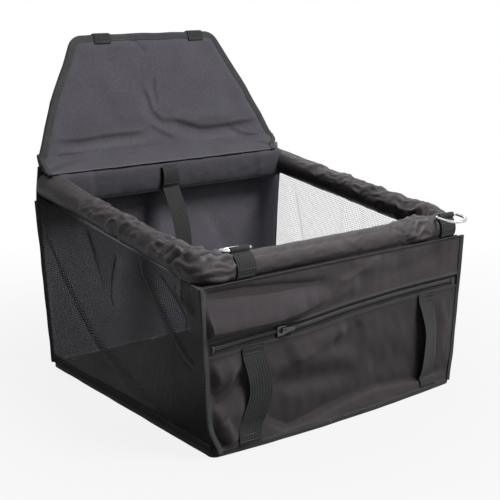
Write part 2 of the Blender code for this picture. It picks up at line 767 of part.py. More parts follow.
def make_front_strap(name, centre):
    """A loose strap below the zip, sewn to the pocket face at both ends."""
    flat = -GAP - WEBBING / 2
    top = zip_z(centre) - ZIP_WINDOW / 2 - STRAP_TOP_DROP
    run = top - STRAP_BOTTOM - 2 * STRAP_SEWN
    path = [(flat, top)]
    for i in range(STRAP_STEPS + 1):
        share = i / STRAP_STEPS
        away = STRAP_STANDOFF * sin(pi * share) ** STRAP_BOW_POWER if 0 < share < 1 else 0
        path.append((flat - away, top - STRAP_SEWN - run * share))
    path.append((flat, STRAP_BOTTOM))
    left = centre - FRONT_STRAP_WIDTH / 2
    outline = [Vector((left, FRONT_FACE + depth, z)) for depth, z in ribbon(path, WEBBING)]
    add_object(name, prism(outline, (FRONT_STRAP_WIDTH, 0, 0)), WEBBING_FINISH)


def eye_centre(angle):
    """Middle of a tab's eye, as y and z."""
    reach = FRONT_SLEEVE_RADIUS + GAP + RING_WIRE + GAP + EYE_WALL
    return (-RIM_Y + reach * cos(angle), FRONT_PIPE_Z + reach * sin(angle))


def make_ring_tab(name, centre, angle):
    """A webbing tab up the front sleeve, ending in an eye for the ring's bar."""
    axis = (-RIM_Y, FRONT_PIPE_Z)
    inner = FRONT_SLEEVE_RADIUS + GAP
    outer = inner + WEBBING
    eye_radius = RING_WIRE + GAP + EYE_WALL
    reach = inner + eye_radius
    start = pi + asin((front_top_drop() - GAP) / outer)
    meet = acos((reach ** 2 + eye_radius ** 2 - outer ** 2) / (2 * reach * eye_radius))
    joint = angle + atan2(eye_radius * sin(meet), reach - eye_radius * cos(meet))
    middle = eye_centre(angle)
    outline = arc(axis, inner, start, angle, ARC_STEPS)
    outline += arc(middle, eye_radius, angle + pi, angle + pi + 2 * pi - meet, 2 * ARC_STEPS)[1:]
    outline += arc(axis, outer, joint, start, ARC_STEPS)[1:]
    bore = arc(middle, (RING_WIRE + GAP) / cos(pi / (2 * ARC_STEPS)), 0, 2 * pi, 2 * ARC_STEPS)[:-1]
    left = centre - TAB_WIDTH / 2
    solid = pierced_prism([Vector((left, y, z)) for y, z in outline], [Vector((left, y, z)) for y, z in bore],
                          (TAB_WIDTH, 0, 0))
    add_object(name, solid, WEBBING_FINISH)


def rod_loop(path, radius, sides, normal):
    """A closed rod along a flat path of 3-D points."""
    rings = []
    for i, point in enumerate(path):
        tangent = (path[(i + 1) % len(path)] - path[i - 1]).normalized()
        level = tangent.cross(normal)
        rings.append([point + level * a + normal * b for a, b in circle(radius, sides)])
    return loft_loop(rings)


def rod(path, radius, sides, normal):
    """An open rod along a flat path of 3-D points."""
    rings = []
    for i, point in enumerate(path):
        before, after = path[max(i - 1, 0)], path[min(i + 1, len(path) - 1)]
        tangent = (after - before).normalized()
        level = tangent.cross(normal)
        rings.append([point + level * a + normal * b for a, b in circle(radius, sides)])
    return loft(rings)


def make_ring(name, centre, angle, dip):
    """A D ring whose bar runs through the tab's eye."""
    half = RING_WIDTH / 2 - RING_WIRE
    depth = RING_DEPTH - 2 * RING_WIRE
    outline = arc((half - RING_CORNER, RING_CORNER), RING_CORNER, -pi / 2, 0, ARC_STEPS // 2)
    outline += arc((0, depth - half), half, 0, pi, 2 * ARC_STEPS)
    outline += arc((RING_CORNER - half, RING_CORNER), RING_CORNER, pi, 3 * pi / 2, ARC_STEPS // 2)
    pivot_y, pivot_z = eye_centre(angle)
    pivot = make_empty(name + "_pivot", (centre, pivot_y, pivot_z), (dip, 0, 0))
    path = [Vector((x, y, 0)) for x, y in outline]
    ring = rod_loop(path, RING_WIRE, RING_SIDES, Vector((0, 0, 1)))
    add_object(name, ring, CHROME_FINISH, pivot, smooth=True)


def band_front(rise, standoff):
    """A point before the rear tunnel, this far above its middle."""
    share = rise / BAND_HALF_HEIGHT
    y = RIM_Y - SIDE_SLEEVE_RADIUS * sqrt(1 - share ** 2)
    slope = Vector((y - RIM_Y, rise * (SIDE_SLEEVE_RADIUS / BAND_HALF_HEIGHT) ** 2)).normalized()
    return (y + slope.x * standoff, BACK_PIPE_Z + rise + slope.y * standoff)


def tether_hinge():
    """Where the tether folds, level with the front of its sewn end, as y and z."""
    return band_front(-TETHER_SEWN_END - WEBBING / 2 - TETHER_FOLD_ROOM, GAP + WEBBING)


def make_tether():
    rises = [TETHER_SEWN_TOP - (TETHER_SEWN_TOP + TETHER_SEWN_END) * i / ARC_STEPS
             for i in range(ARC_STEPS + 1)]
    sewn = [band_front(rise, GAP + WEBBING / 2) for rise in rises]
    left = TETHER_X - TETHER_WIDTH / 2
    outline = [Vector((left, y, z)) for y, z in ribbon(sewn, WEBBING)]
    add_object("tether_anchor", prism(outline, (TETHER_WIDTH, 0, 0)), WEBBING_FINISH)
    hinge = tether_hinge()
    loop = tether_loop()
    half = WEBBING / 2
    path = [(-TETHER_LEAN * sin(pi * i / TETHER_STEPS / 2), -TETHER_DROP * i / TETHER_STEPS)
            for i in range(TETHER_STEPS + 1)]
    loop_y, loop_z = loop[0] - hinge[0], loop[1] - hinge[1]
    path.append((-TETHER_LEAN, loop_z + LOOP_BORE + TETHER_SLIT))
    run = offset_path(path, half)
    back_run = offset_path(path, -half)
    start = unit((path[1][0] - path[0][0], path[1][1] - path[0][1]))
    heading = atan2(start[1], start[0])
    nose = arc((0, 0), half, heading - pi / 2, heading - 3 * pi / 2, ARC_STEPS // 2)
    outer = LOOP_BORE + WEBBING
    bottom = arc((loop_y, loop_z), outer, 0, -pi, ARC_STEPS)
    outline = run[1:] + bottom + back_run[:0:-1] + nose
    slit = arc((loop_y, loop_z), LOOP_BORE, pi, 2 * pi, ARC_STEPS)
    slit.append((loop_y, loop_z + LOOP_BORE + TETHER_SLIT - WEBBING))
    place = make_empty("tether_pivot", (TETHER_X, hinge[0], hinge[1]))
    strap = pierced_prism([Vector((-TETHER_WIDTH / 2, y, z)) for y, z in outline],
                          [Vector((-TETHER_WIDTH / 2, y, z)) for y, z in slit], (TETHER_WIDTH, 0, 0))
    add_object("tether_strap", strap, WEBBING_FINISH, place)


def tether_loop():
    """Middle of the tether's lower loop, as y and z."""
    hinge = tether_hinge()
    drop = TETHER_DROP + TETHER_TAIL + TETHER_SLIT + LOOP_BORE
    return (hinge[0] - TETHER_LEAN, hinge[1] - drop)


def lathe(profile, sides):
    """A turned solid from pairs of radius and height that start and end on the axis."""
    bm = bmesh.new()
    rings = [[Vector((r * cos(2 * pi * i / sides), r * sin(2 * pi * i / sides), z)) for i in range(sides)]
             for r, z in profile[1:-1]]
    skinned = add_rings(bm, rings)
    for ring, (_, height) in ((skinned[0], profile[0]), (skinned[-1], profile[-1])):
        tip = bm.verts.new((0, 0, height))
        for i in range(sides):
            bm.faces.new((ring[i], ring[(i + 1) % sides], tip))
    return bm


def make_hook():
    """Snap hook: an eye with its swivel pin, the barrel and hook, and the sliding bolt."""
    loop_y, loop_z = tether_loop()
    eye_place = make_empty("hook_eye_pivot", (TETHER_X, loop_y, loop_z))
    outline = rounded_rectangle(-EYE_HALF_WIDTH, EYE_HALF_WIDTH, -EYE_HEIGHT, 0, EYE_CORNER, CORNER_STEPS)
    path = [Vector((x, 0, z)) for x, z in outline]
    eye = add_object("hook_eye", rod_loop(path, EYE_ROD, RING_SIDES, Vector((0, 1, 0))), CHROME_FINISH,
                     eye_place, smooth=True)
    pin_end = -EYE_HEIGHT - SWIVEL_LENGTH
    profile = [(0, -EYE_HEIGHT), (SWIVEL_RADIUS, -EYE_HEIGHT), (SWIVEL_RADIUS, pin_end + SWIVEL_HEAD),
               (SWIVEL_HEAD_RADIUS, pin_end + SWIVEL_HEAD), (SWIVEL_HEAD_RADIUS, pin_end), (0, pin_end)]
    pin = add_object("swivel_tool", lathe(profile, HOOK_SIDES), CHROME_FINISH, eye_place)
    join_tool(eye, pin, "UNION")
    top = -EYE_HEIGHT - EYE_ROD - GAP
    place = make_empty("hook_body_pivot", (0, 0, top), parent=eye_place)
    bore = SWIVEL_RADIUS + GAP
    chamber = SWIVEL_HEAD_RADIUS + GAP
    floor = -BARREL_LENGTH + BARREL_FLOOR
    rings = [(BARREL_RADIUS, -BARREL_LENGTH), (BARREL_RADIUS, 0), (bore, 0), (bore, -BARREL_LID),
             (chamber, -BARREL_LID), (chamber, floor)]
    profile = [(0, -BARREL_LENGTH)] + rings + [(0, floor)]
    body = add_object("hook_body", lathe(profile, HOOK_SIDES), CHROME_FINISH, place, smooth=True)
    bolt_x = 2 * HOOK_BEND - BARREL_RADIUS - BOLT_RADIUS + HOOK_ROD
    shank_x = bolt_x - 2 * HOOK_BEND
    bend_z = -BARREL_LENGTH - HOOK_SHANK
    outline = [(HOOK_START_X, -BARREL_LENGTH + BARREL_FLOOR / 2), (shank_x, -BARREL_LENGTH - HOOK_SHANK / 2)]
    outline += arc((shank_x + HOOK_BEND, bend_z), HOOK_BEND, pi, 2 * pi, ARC_STEPS)
    outline.append((bolt_x, bend_z + HOOK_TIP_RISE))
    path = [Vector((x, 0, z)) for x, z in outline]
    hook = add_object("hook_tool", rod(path, HOOK_ROD, HOOK_SIDES, Vector((0, 1, 0))), CHROME_FINISH, place)
    join_tool(body, hook, "UNION")
    wall = LUG_HALF_WIDTH
    lug = box_points((chamber + GAP, bolt_x + wall), (-wall, wall), (-BARREL_LENGTH, -LUG_TOP_DROP))
    join_tool(body, add_object("lug_tool", lug, CHROME_FINISH, place), "UNION")
    guide = (BOLT_RADIUS + GAP) / cos(pi / HOOK_SIDES)
    profile = [(0, 0), (guide, 0), (guide, -BARREL_LENGTH - GAP), (0, -BARREL_LENGTH - GAP)]
    cutter = add_object("bolt_bore_tool", lathe(profile, HOOK_SIDES), CHROME_FINISH, place, (bolt_x, 0, 0))
    join_tool(body, cutter, "DIFFERENCE")
    bolt_end = bend_z + HOOK_TIP_RISE + GAP
    collar = bolt_end + BOLT_COLLAR
    profile = [(0, -BOLT_TOP_DROP), (BOLT_RADIUS, -BOLT_TOP_DROP), (BOLT_RADIUS, collar + BOLT_COLLAR / 2),
               (BOLT_COLLAR_RADIUS, collar), (BOLT_COLLAR_RADIUS, bolt_end), (0, bolt_end)]
    add_object("hook_bolt", lathe(profile, HOOK_SIDES), NICKEL_FINISH, place, (bolt_x, 0, 0), smooth=True)


def flap_outline():
    """The flap's open outline as x and height, from its lower left corner over the top."""
    shoulder = FLAP_HEIGHT * FLAP_SHOULDER_SHARE
    left = [(-FLAP_BOTTOM_HALF, FLAP_START), (-FLAP_SHOULDER_HALF, shoulder)]
    left += fillet(left[-1], (-FLAP_TOP_HALF, FLAP_HEIGHT), (0, FLAP_HEIGHT), FLAP_CORNER, ARC_STEPS // 2)
    right = [(-x, height) for x, height in left[::-1]]
    return left + right


def on_flap(pairs, away):
    """Outline points given as x and height, this far before the flap's middle."""
    return [Vector((x, -away, height)) for x, height in pairs]


def make_flap(hinge):
    """Front cloth, foam and rear cloth, the rolled hem on the hinge line and the edge tape."""
    outline = flap_outline()
    front = FLAP_FOAM / 2 + GAP
    add_object("backrest_face", prism(on_flap(outline, front + FLAP_CLOTH), (0, FLAP_CLOTH, 0)), FLAP_FINISH,
               hinge)
    add_object("backrest_rear", prism(on_flap(outline, -front), (0, FLAP_CLOTH, 0)), FLAP_FINISH, hinge)
    inside = offset_path(outline, -FOAM_INSET, closed=True)
    add_object("backrest_foam", prism(on_flap(inside, FLAP_FOAM / 2), (0, FLAP_FOAM, 0)), FOAM_FINISH, hinge)
    half = FLAP_BOTTOM_HALF
    rings = [[Vector((x, a, b)) for a, b in circle(HEM_RADIUS, HOOK_SIDES)] for x in (-half, half)]
    add_object("backrest_hem", loft(rings), FLAP_FINISH, hinge, smooth=True)
    inner, outer = FACE_FRONT + GAP, FACE_FRONT + GAP + FLAP_TAPE
    profile = [(-FLAP_TAPE_LEG, outer), (FLAP_TAPE + GAP, outer), (FLAP_TAPE + GAP, -outer),
               (-FLAP_TAPE_LEG, -outer), (-FLAP_TAPE_LEG, -inner), (GAP, -inner), (GAP, inner),
               (-FLAP_TAPE_LEG, inner)]
    mitres = mitre_offsets(outline)
    mitres[0] = (1 / mitres[0][0], 0)
    mitres[-1] = (1 / mitres[-1][0], 0)
    rings = []
    for (x, height), (out_x, out_height) in zip(outline, mitres):
        rings.append([Vector((x + out_x * out, -away, height + out_height * out)) for out, away in profile])
    add_object("backrest_binding", loft(rings), BINDING_FINISH, hinge)


def make_top_loop(name, centre, hinge):
    """A webbing loop over the flap's top edge, standing off behind it."""
    middle = GAP + WEBBING / 2
    front = -(FACE_FRONT + GAP + FLAP_TAPE + middle)
    top = FLAP_HEIGHT + GAP + FLAP_TAPE + middle
    rear = -front
    away = rear + LOOP_STANDOFF
    low = top - LOOP_STANDOFF - LOOP_REAR_RUN
    flat = FACE_FRONT + middle
    foot = low - LOOP_REAR_RETURN
    path = [(front, FLAP_HEIGHT - LOOP_FRONT_LEG), (front, top), (rear, top), (away, top - LOOP_STANDOFF),
            (away, low), (flat, foot), (flat, foot - LOOP_FOOT)]
    left = centre - LOOP_WIDTH / 2
    outline = [Vector((left, y, z)) for y, z in ribbon(path, WEBBING)]
    add_object(name, prism(outline, (LOOP_WIDTH, 0, 0)), WEBBING_FINISH, hinge)


def main():
    clear_objects()
    make_base()
    make_front()
    make_back()
    make_net("left_net", -1)
    make_net("right_net", 1)
    for name, side, front in (("front_left", -1, True), ("front_right", 1, True), ("rear_left", -1, False),
                              ("rear_right", 1, False)):
        make_corner_seam(name + "_seam", side, front)
    rim = make_empty("rim_frame", (0, 0, (FRONT_PIPE_Z + BACK_PIPE_Z) / 2), (RIM_TILT, 0, 0))
    make_sleeves(rim)
    make_pipes(rim)
    make_elbows(rim)
    line = make_empty("zip_line", (0, FRONT_FACE, ZIP_HEIGHT), (0, -ZIP_SLOPE, 0))
    make_zip(line)
    make_slider(line)
    make_front_strap("front_strap_left", LEFT_STRAP_INSET - BASE_WIDTH / 2)
    make_front_strap("front_strap_right", BASE_WIDTH / 2 - RIGHT_STRAP_INSET)
    left_tab = LEFT_TAB_INSET - TUB_WIDTH / 2
    right_tab = TUB_WIDTH / 2 - RIGHT_TAB_INSET
    make_ring_tab("ring_tab_left", left_tab, LEFT_EYE_ANGLE)
    make_ring_tab("ring_tab_right", right_tab, RIGHT_EYE_ANGLE)
    make_ring("ring_left", left_tab, LEFT_EYE_ANGLE, LEFT_RING_DIP)
    make_ring("ring_right", right_tab, RIGHT_EYE_ANGLE, RIGHT_RING_DIP)
    make_tether()
    make_hook()
    hinge = make_empty("backrest_hinge", (0, HINGE_Y, HINGE_Z), (-FLAP_LEAN, 0, 0))
    make_flap(hinge)
    make_top_loop("top_loop_left", -LOOP_X, hinge)
    make_top_loop("top_loop_right", LOOP_X, hinge)


main()
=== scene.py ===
"""Looks of a dog car seat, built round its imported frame.

The file is laid out as a Blender add-on and is run as a script. Metres, +Z up, the zipped front faces -Y.
"""

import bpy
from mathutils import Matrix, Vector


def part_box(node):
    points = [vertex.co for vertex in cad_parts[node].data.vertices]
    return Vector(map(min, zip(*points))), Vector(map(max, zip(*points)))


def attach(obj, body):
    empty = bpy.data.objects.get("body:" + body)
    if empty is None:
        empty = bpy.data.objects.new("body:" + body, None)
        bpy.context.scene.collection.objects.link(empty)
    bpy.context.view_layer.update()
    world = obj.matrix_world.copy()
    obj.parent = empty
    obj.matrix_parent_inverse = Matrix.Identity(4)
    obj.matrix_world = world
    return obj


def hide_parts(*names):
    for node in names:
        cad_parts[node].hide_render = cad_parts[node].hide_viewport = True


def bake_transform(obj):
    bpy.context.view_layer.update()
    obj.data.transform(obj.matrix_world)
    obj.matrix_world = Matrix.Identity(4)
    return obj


bl_info = {
    "name": "Dog car seat looks",
    "version": (1, 0, 0),
    "blender": (4, 5, 0),
    "location": "3D View > Sidebar > Car seat",
    "description": "Builds the cloth, net, webbing and metal of a dog car seat round its frame",
    "category": "Object",
}

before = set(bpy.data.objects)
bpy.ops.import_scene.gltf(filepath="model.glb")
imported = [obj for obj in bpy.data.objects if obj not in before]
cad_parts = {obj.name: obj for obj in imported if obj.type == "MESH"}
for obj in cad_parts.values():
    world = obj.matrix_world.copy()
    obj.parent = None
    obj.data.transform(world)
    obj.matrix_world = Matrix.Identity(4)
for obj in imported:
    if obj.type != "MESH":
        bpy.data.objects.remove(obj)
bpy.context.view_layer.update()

from math import acos, atan2, cos, hypot, pi, radians, sin, sqrt, tan

import bmesh
import bpy
import numpy as np
from mathutils import Vector

UV_NAME = "metres"

# Rim: corner lines of the pipes, in a plane that slopes down to the front
RIM_X = 0.1825
RIM_Y = 0.1625
FRONT_RIM_Z = 0.2025
BACK_RIM_Z = 0.2425
RIM_TILT = atan2(BACK_RIM_Z - FRONT_RIM_Z, 2 * RIM_Y)
RIM_V = hypot(RIM_Y, (BACK_RIM_Z - FRONT_RIM_Z) / 2)
RIM_CENTRE = np.array([0, 0, (FRONT_RIM_Z + BACK_RIM_Z) / 2])
RIM_ALONG = np.array([0, cos(RIM_TILT), sin(RIM_TILT)])
RIM_UP = np.array([0, -sin(RIM_TILT), cos(RIM_TILT)])

# Walls, taken from the frame
FRONT_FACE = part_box("pocket_face")[0].y
BACK_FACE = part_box("back_panel")[0].y
WALL_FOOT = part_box("pocket_face")[0].z
BASE_LOW, BASE_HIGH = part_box("base_binding")
SIDE_FOOT = 0.185
SIDE_SLOPE = tan(radians(3.4))

# Zip line
ZIP_HEIGHT = 0.1292
ZIP_SLOPE = tan(radians(2.2))
SLIDER_X = -0.0915

# Flap: its hinge line and its plane, which leans back
HINGE = np.array([0, 0.1809, 0.2725])
FLAP_LEAN = radians(15.5)
FLAP_UP = np.array([0, sin(FLAP_LEAN), cos(FLAP_LEAN)])
FLAP_OUT = np.array([0, -cos(FLAP_LEAN), sin(FLAP_LEAN)])
FLAP_HEIGHT = 0.161
FLAP_FOOT = 0.0038
FLAP_CORNERS = [(-0.1935, FLAP_FOOT), (-0.1630, 0.07728), (-0.1165, FLAP_HEIGHT), (0.1060, FLAP_HEIGHT),
                (0.1500, 0.07728), (0.1840, FLAP_FOOT)]
FLAP_ROUND = 0.022
FLAP_SIDE_SLANT = 0.87  # a step off the flap's side edge, for each step across
FLAP_CROWN = 0.016  # how far in from its edge the flap reaches its full thickness
FLAP_EDGE = 0.0016  # half thickness at the edge
FLAP_LEAST = 0.0024  # least thickness anywhere

# Webbing and stitches
TAB_WIDTH = 0.0245
STRAP_WIDTH = 0.028
TETHER_WIDTH = 0.025
STRAP_COLUMNS = 11
SEAM_HALF = 0.0105
TACK_LENGTH = 0.0022
TACK_GAP = 0.0004
THREAD_SIDES = 6
THREAD_STATIONS = [
    # place along a stitch as a share of its length, then width and height off the cloth as shares of the thread
    (-0.5, 0.25, -0.8), (-0.34, 0.85, 0.1), (0.0, 1.0, 0.45), (0.34, 0.85, 0.1), (0.5, 0.25, -0.8),
]

# Steps between the points of outlines, and of the lines of webbing
PATH_STEP = 0.0025
LINE_STEP = 0.0006


# Properties: the colours and sizes that a user would change

def colour_property(name, description, colour):
    return bpy.props.FloatVectorProperty(name=name, description=description, default=colour, size=3,
                                         subtype="COLOR", min=0, max=1)


def length_property(name, description, size):
    return bpy.props.FloatProperty(name=name, description=description, default=size, min=0,
                                   subtype="DISTANCE", unit="LENGTH", precision=5)


def angle_property(name, description, angle):
    return bpy.props.FloatProperty(name=name, description=description, default=radians(angle), subtype="ANGLE")


def power_property(name, lamp, watts):
    return bpy.props.FloatProperty(name=name, description="Power of the " + lamp + " in watts", default=watts)


class SeatColours(bpy.types.PropertyGroup):
    flap: colour_property("Flap cloth", "Colour of the flap and the back wall", (0.0605, 0.0572, 0.0675))
    front: colour_property("Front cloth", "Colour of the front wall and pocket", (0.0385, 0.0330, 0.0362))
    lining: colour_property("Lining", "Colour of the inner cloth", (0.014, 0.0135, 0.0145))
    sleeve: colour_property("Sleeve cloth", "Colour of the padded rim", (0.0500, 0.0445, 0.0475))
    webbing: colour_property("Webbing", "Colour of the straps and tabs", (0.0150, 0.0158, 0.0155))
    binding: colour_property("Binding", "Colour of the edge tapes", (0.0345, 0.0355, 0.0368))
    net: colour_property("Net", "Colour of the side nets", (0.020, 0.0205, 0.0200))
    thread: colour_property("Thread", "Colour of the stitching", (0.080, 0.080, 0.083))
    zip: colour_property("Zip", "Colour of the zip's tapes and coils", (0.026, 0.025, 0.026))
    chrome: colour_property("Chrome", "Colour of the rings and the snap hook", (0.56, 0.56, 0.57))
    nickel: colour_property("Nickel", "Colour of the zip slider and the hook", (0.095, 0.093, 0.093))
    pipe: colour_property("Pipe", "Colour of the rim pipes and elbows", (0.72, 0.72, 0.70))
    board: colour_property("Board", "Colour of the board in the base", (0.25, 0.22, 0.18))


class SeatSizes(bpy.types.PropertyGroup):
    weave: length_property("Weave", "Pitch of the woven cloth", 0.0010)
    cloth: length_property("Cloth", "Thickness of the wall cloth", 0.0011)
    pad: length_property("Flap pad", "Half thickness of the flap in its middle", 0.0033)
    net_pitch: length_property("Net pitch", "Distance between the net's strands", 0.0026)
    net_strand: length_property("Net strand", "Thickness of one strand of the net", 0.00034)
    rib: length_property("Rib", "Pitch of the ribs across the webbing", 0.0024)
    webbing: length_property("Webbing", "Thickness of the webbing", 0.0013)
    stitch: length_property("Stitch", "Length of one stitch", 0.0030)
    stitch_gap: length_property("Stitch gap", "Gap between two stitches", 0.0010)
    thread: length_property("Thread", "Radius of the thread", 0.00027)
    ring_wire: length_property("Ring wire", "Radius of the D rings' wire", 0.00185)


class SeatStage(bpy.types.PropertyGroup):
    azimuth: angle_property("Azimuth", "Turn of the camera round the seat", -37.62)
    elevation: angle_property("Elevation", "Rise of the camera", 14.08)
    distance: length_property("Distance", "From the camera to the seat's middle", 1.3581)
    lens: bpy.props.FloatProperty(name="Lens", description="Focal length in millimetres", default=77.05)
    key: power_property("Key lamp", "main lamp", 94)
    fill: power_property("Fill lamp", "fill lamp", 13)
    top: power_property("Top lamp", "lamp above the back", 4)
    back: power_property("Back lamp", "lamp behind the seat", 26)
    sky: bpy.props.FloatProperty(name="Sky", description="Strength of the even light", default=0.05)
    floor: colour_property("Floor", "Colour of the floor", (0.22, 0.22, 0.22))


def colours():
    return bpy.context.scene.seat_colours


def sizes():
    return bpy.context.scene.seat_sizes


# Sampled fields and lines

def unit(vectors):
    """The same directions, of length 1."""
    return vectors / np.linalg.norm(vectors, axis=-1, keepdims=True)


def points_at(x, y, z):
    """Points from three fields that fit each other."""
    return np.stack(np.broadcast_arrays(x, y, z), axis=-1)


def row_grid(low, high, rows, columns):
    """A grid whose rows go from low to high, with shares from -1 to 1 across."""
    return np.meshgrid(np.linspace(low, high, rows), np.linspace(-1, 1, columns), indexing="ij")


def smooth(share):
    """Eases from 0 to 1 as share goes from 0 to 1."""
    share = np.clip(share, 0, 1)
    return share * share * (3 - 2 * share)


def hump(offset, width, power=2):
    """1 where the offset is 0, and falling away to each side over this width."""
    return np.exp(-(offset / width) ** power)


def turned(angle):
    """The same angle, at most half a turn to either side."""
    return np.angle(np.exp(1j * angle))


def ripples(a, b, seed, size, count=8):
    """An uneven field of gentle waves of about this size, mostly between -1 and 1."""
    rng = np.random.default_rng(seed)
    field = np.zeros(np.broadcast(a, b).shape)
    for _ in range(count):
        angle, phase = rng.uniform(0, pi), rng.uniform(0, 2 * pi)
        turns = 2 * pi / (size * rng.uniform(0.7, 1.7))
        field += np.sin((a * cos(angle) + b * sin(angle)) * turns + phase)
    return field * 1.5 / count


def near_line(a, b, line):
    """For each place: its distance from a line of points, the side it is on, and how far along it is."""
    line = np.array(line, float)
    steps = np.linalg.norm(np.diff(line, axis=0), axis=1)
    total, run = steps.sum(), 0.0
    best = np.full(np.broadcast(a, b).shape, np.inf)
    side, share = np.zeros_like(best), np.zeros_like(best)
    for p, q, length in zip(line, line[1:], steps):
        d = (q - p) / length
        t = np.clip((a - p[0]) * d[0] + (b - p[1]) * d[1], 0, length)
        off_a, off_b = a - p[0] - t * d[0], b - p[1] - t * d[1]
        distance = np.hypot(off_a, off_b)
        closer = distance < best
        best = np.where(closer, distance, best)
        side = np.where(closer, np.sign(d[0] * off_b - d[1] * off_a), side)
        share = np.where(closer, (run + t) / total, share)
        run += length
    return best, side, share


def crease(a, b, line, height, left, right, ends=0.18):
    """A ridge along a line (a valley if height < 0), with its own width on each side, fading at the ends."""
    distance, side, share = near_line(a, b, line)
    fade = smooth(share / ends) * smooth((1 - share) / ends)
    return height * hump(distance, np.where(side > 0, left, right)) * fade


def creased(relief, a, b, creases, ends=0.18):
    """A relief with the creases of a table added. A row is a line, its height, and its left and right width."""
    for row in creases:
        relief = relief + crease(a, b, *row, ends)
    return relief


def run_along(points):
    """How far along a line each of its points is."""
    return np.concatenate([[0], np.cumsum(np.linalg.norm(np.diff(points, axis=0), axis=1))])


def resample(points, step):
    """A line of points again, at even steps of about this length."""
    points = np.array(points, float)
    run = run_along(points)
    count = max(int(round(run[-1] / step)), 1) + 1
    places = np.linspace(0, run[-1], count)
    return np.stack([np.interp(places, run, points[:, k]) for k in range(points.shape[1])], axis=1)


def rounded(points, step=0.001, passes=12):
    """A smoother line through about the same points, its ends kept."""
    line = resample(points, step)
    for _ in range(passes):
        line[1:-1] = (line[:-2] + 2 * line[1:-1] + line[2:]) / 4
    return line


def lengths_along(points, axis):
    """How far along its row or column each point of a grid is."""
    steps = np.linalg.norm(np.diff(points, axis=axis), axis=2)
    run = np.cumsum(steps, axis=axis)
    zero = np.zeros_like(run[:1] if axis == 0 else run[:, :1])
    return np.concatenate([zero, run], axis=axis)


def grid_normals(points):
    """The directions off a grid of points."""
    return unit(np.cross(np.gradient(points, axis=0), np.gradient(points, axis=1)))


def fillet(before, corner, after, radius, steps):
    """An arc that rounds one corner of an outline, as pairs."""
    before, corner, after = np.array(before), np.array(corner), np.array(after)
    into, out = unit(corner - before), unit(after - corner)
    turn = acos(float(into @ out))
    side = 1 if into[0] * out[1] - into[1] * out[0] > 0 else -1
    start = corner - into * radius * tan(turn / 2)
    centre = start + np.array([-into[1], into[0]]) * radius * side
    first = atan2(start[1] - centre[1], start[0] - centre[0])
    angles = first + side * turn * np.linspace(0, 1, steps + 1)
    return [(centre[0] + radius * cos(t), centre[1] + radius * sin(t)) for t in angles]


def side_steps(points, closed=False):
    """The left-hand mitre vector at each point of a path of pairs."""
    points = np.array(points, float)
    if closed:
        before, after = np.roll(points, 1, axis=0), np.roll(points, -1, axis=0)
    else:
        before = np.concatenate([[2 * points[0] - points[1]], points[:-1]])
        after = np.concatenate([points[1:], [2 * points[-1] - points[-2]]])
    first, second = unit(points - before), unit(after - points)
    middle = unit(first + second)
    stretch = 1 / np.sum(middle * first, axis=1, keepdims=True)
    return np.stack([-middle[:, 1], middle[:, 0]], axis=1) * stretch


# Meshes

class Skin:
    """Gathers grids and strips of faces with their cloth coordinates, and makes them one mesh."""

    def __init__(self):
        self.points, self.quads, self.quad_uvs, self.caps, self.cap_uvs = [], [], [], [], []
        self.count = 0

    def add_points(self, points):
        flat = points.reshape(-1, 3)
        ids = self.count + np.arange(len(flat)).reshape(points.shape[:-1])
        self.points.append(flat)
        self.count += len(flat)
        return ids

    def add_quads(self, ids, uv):
        self.quads.append(ids.reshape(-1, 4))
        self.quad_uvs.append(uv.reshape(-1, 4, 2))

    def add_grid(self, ids, uv, closed=False):
        """Faces over a grid of point numbers. A closed grid joins its last column to its first."""
        if closed:
            ids = np.concatenate([ids, ids[:, :1]], axis=1)
        corners = [ids[:-1, :-1], ids[1:, :-1], ids[1:, 1:], ids[:-1, 1:]]
        places = [uv[:-1, :-1], uv[1:, :-1], uv[1:, 1:], uv[:-1, 1:]]
        self.add_quads(np.stack(corners, axis=-1), np.stack(places, axis=-2))

    def add_strip(self, first, second, uv):
        """Faces between two closed rows of point numbers."""
        uv = np.concatenate([uv, uv[:1]])
        self.add_grid(np.stack([first, second]), np.stack([uv, uv]), closed=True)

    def add_shell(self, outer_points, inner_points, uv):
        """An outer and an inner grid of points, joined along their edges."""
        outer, inner = self.add_points(outer_points), self.add_points(inner_points)
        self.add_grid(outer, uv)
        self.add_grid(inner, uv)
        self.add_strip(rim_of(outer), rim_of(inner), rim_of(uv))

    def add_tube(self, rings):
        """A solid through rings of points, with its ends closed."""
        ids, uv = self.add_points(rings), ring_uv(rings)
        self.add_grid(ids, uv, closed=True)
        for end, order in ((0, 1), (-1, -1)):
            self.caps.append(ids[end][::order].tolist())
            self.cap_uvs.append(uv[end, :-1][::order])

    def add_loop(self, rings):
        """A solid through rings of points, the last of which joins the first."""
        ids = self.add_points(rings)
        self.add_grid(np.concatenate([ids, ids[:1]]), ring_uv(np.concatenate([rings, rings[:1]])), closed=True)

    def piece(self, name, finish, sharp=50):
        """The mesh as an object, with a finish, smooth but for edges sharper than this angle."""
        mesh = bpy.data.meshes.new(name)
        mesh.from_pydata(np.concatenate(self.points).tolist(), [], np.concatenate(self.quads).tolist() + self.caps)
        uvs = np.concatenate([uv.reshape(-1, 2) for uv in self.quad_uvs + self.cap_uvs])
        mesh.uv_layers.new(name=UV_NAME).data.foreach_set("uv", uvs.astype(np.float32).ravel())
        bm = bmesh.new()
        bm.from_mesh(mesh)
        bmesh.ops.recalc_face_normals(bm, faces=bm.faces)
        bm.to_mesh(mesh)
        bm.free()
        mesh.materials.append(FINISHES[finish])
        mesh.shade_smooth()
        mesh.set_sharp_from_angle(angle=radians(sharp))
        item = bpy.data.objects.new(name, mesh)
        bpy.context.scene.collection.objects.link(item)
        return item


def rim_of(grid):
    """The edge of a grid, in order."""
    return np.concatenate([grid[0, :-1], grid[:-1, -1], grid[-1, :0:-1], grid[:0:-1, 0]])


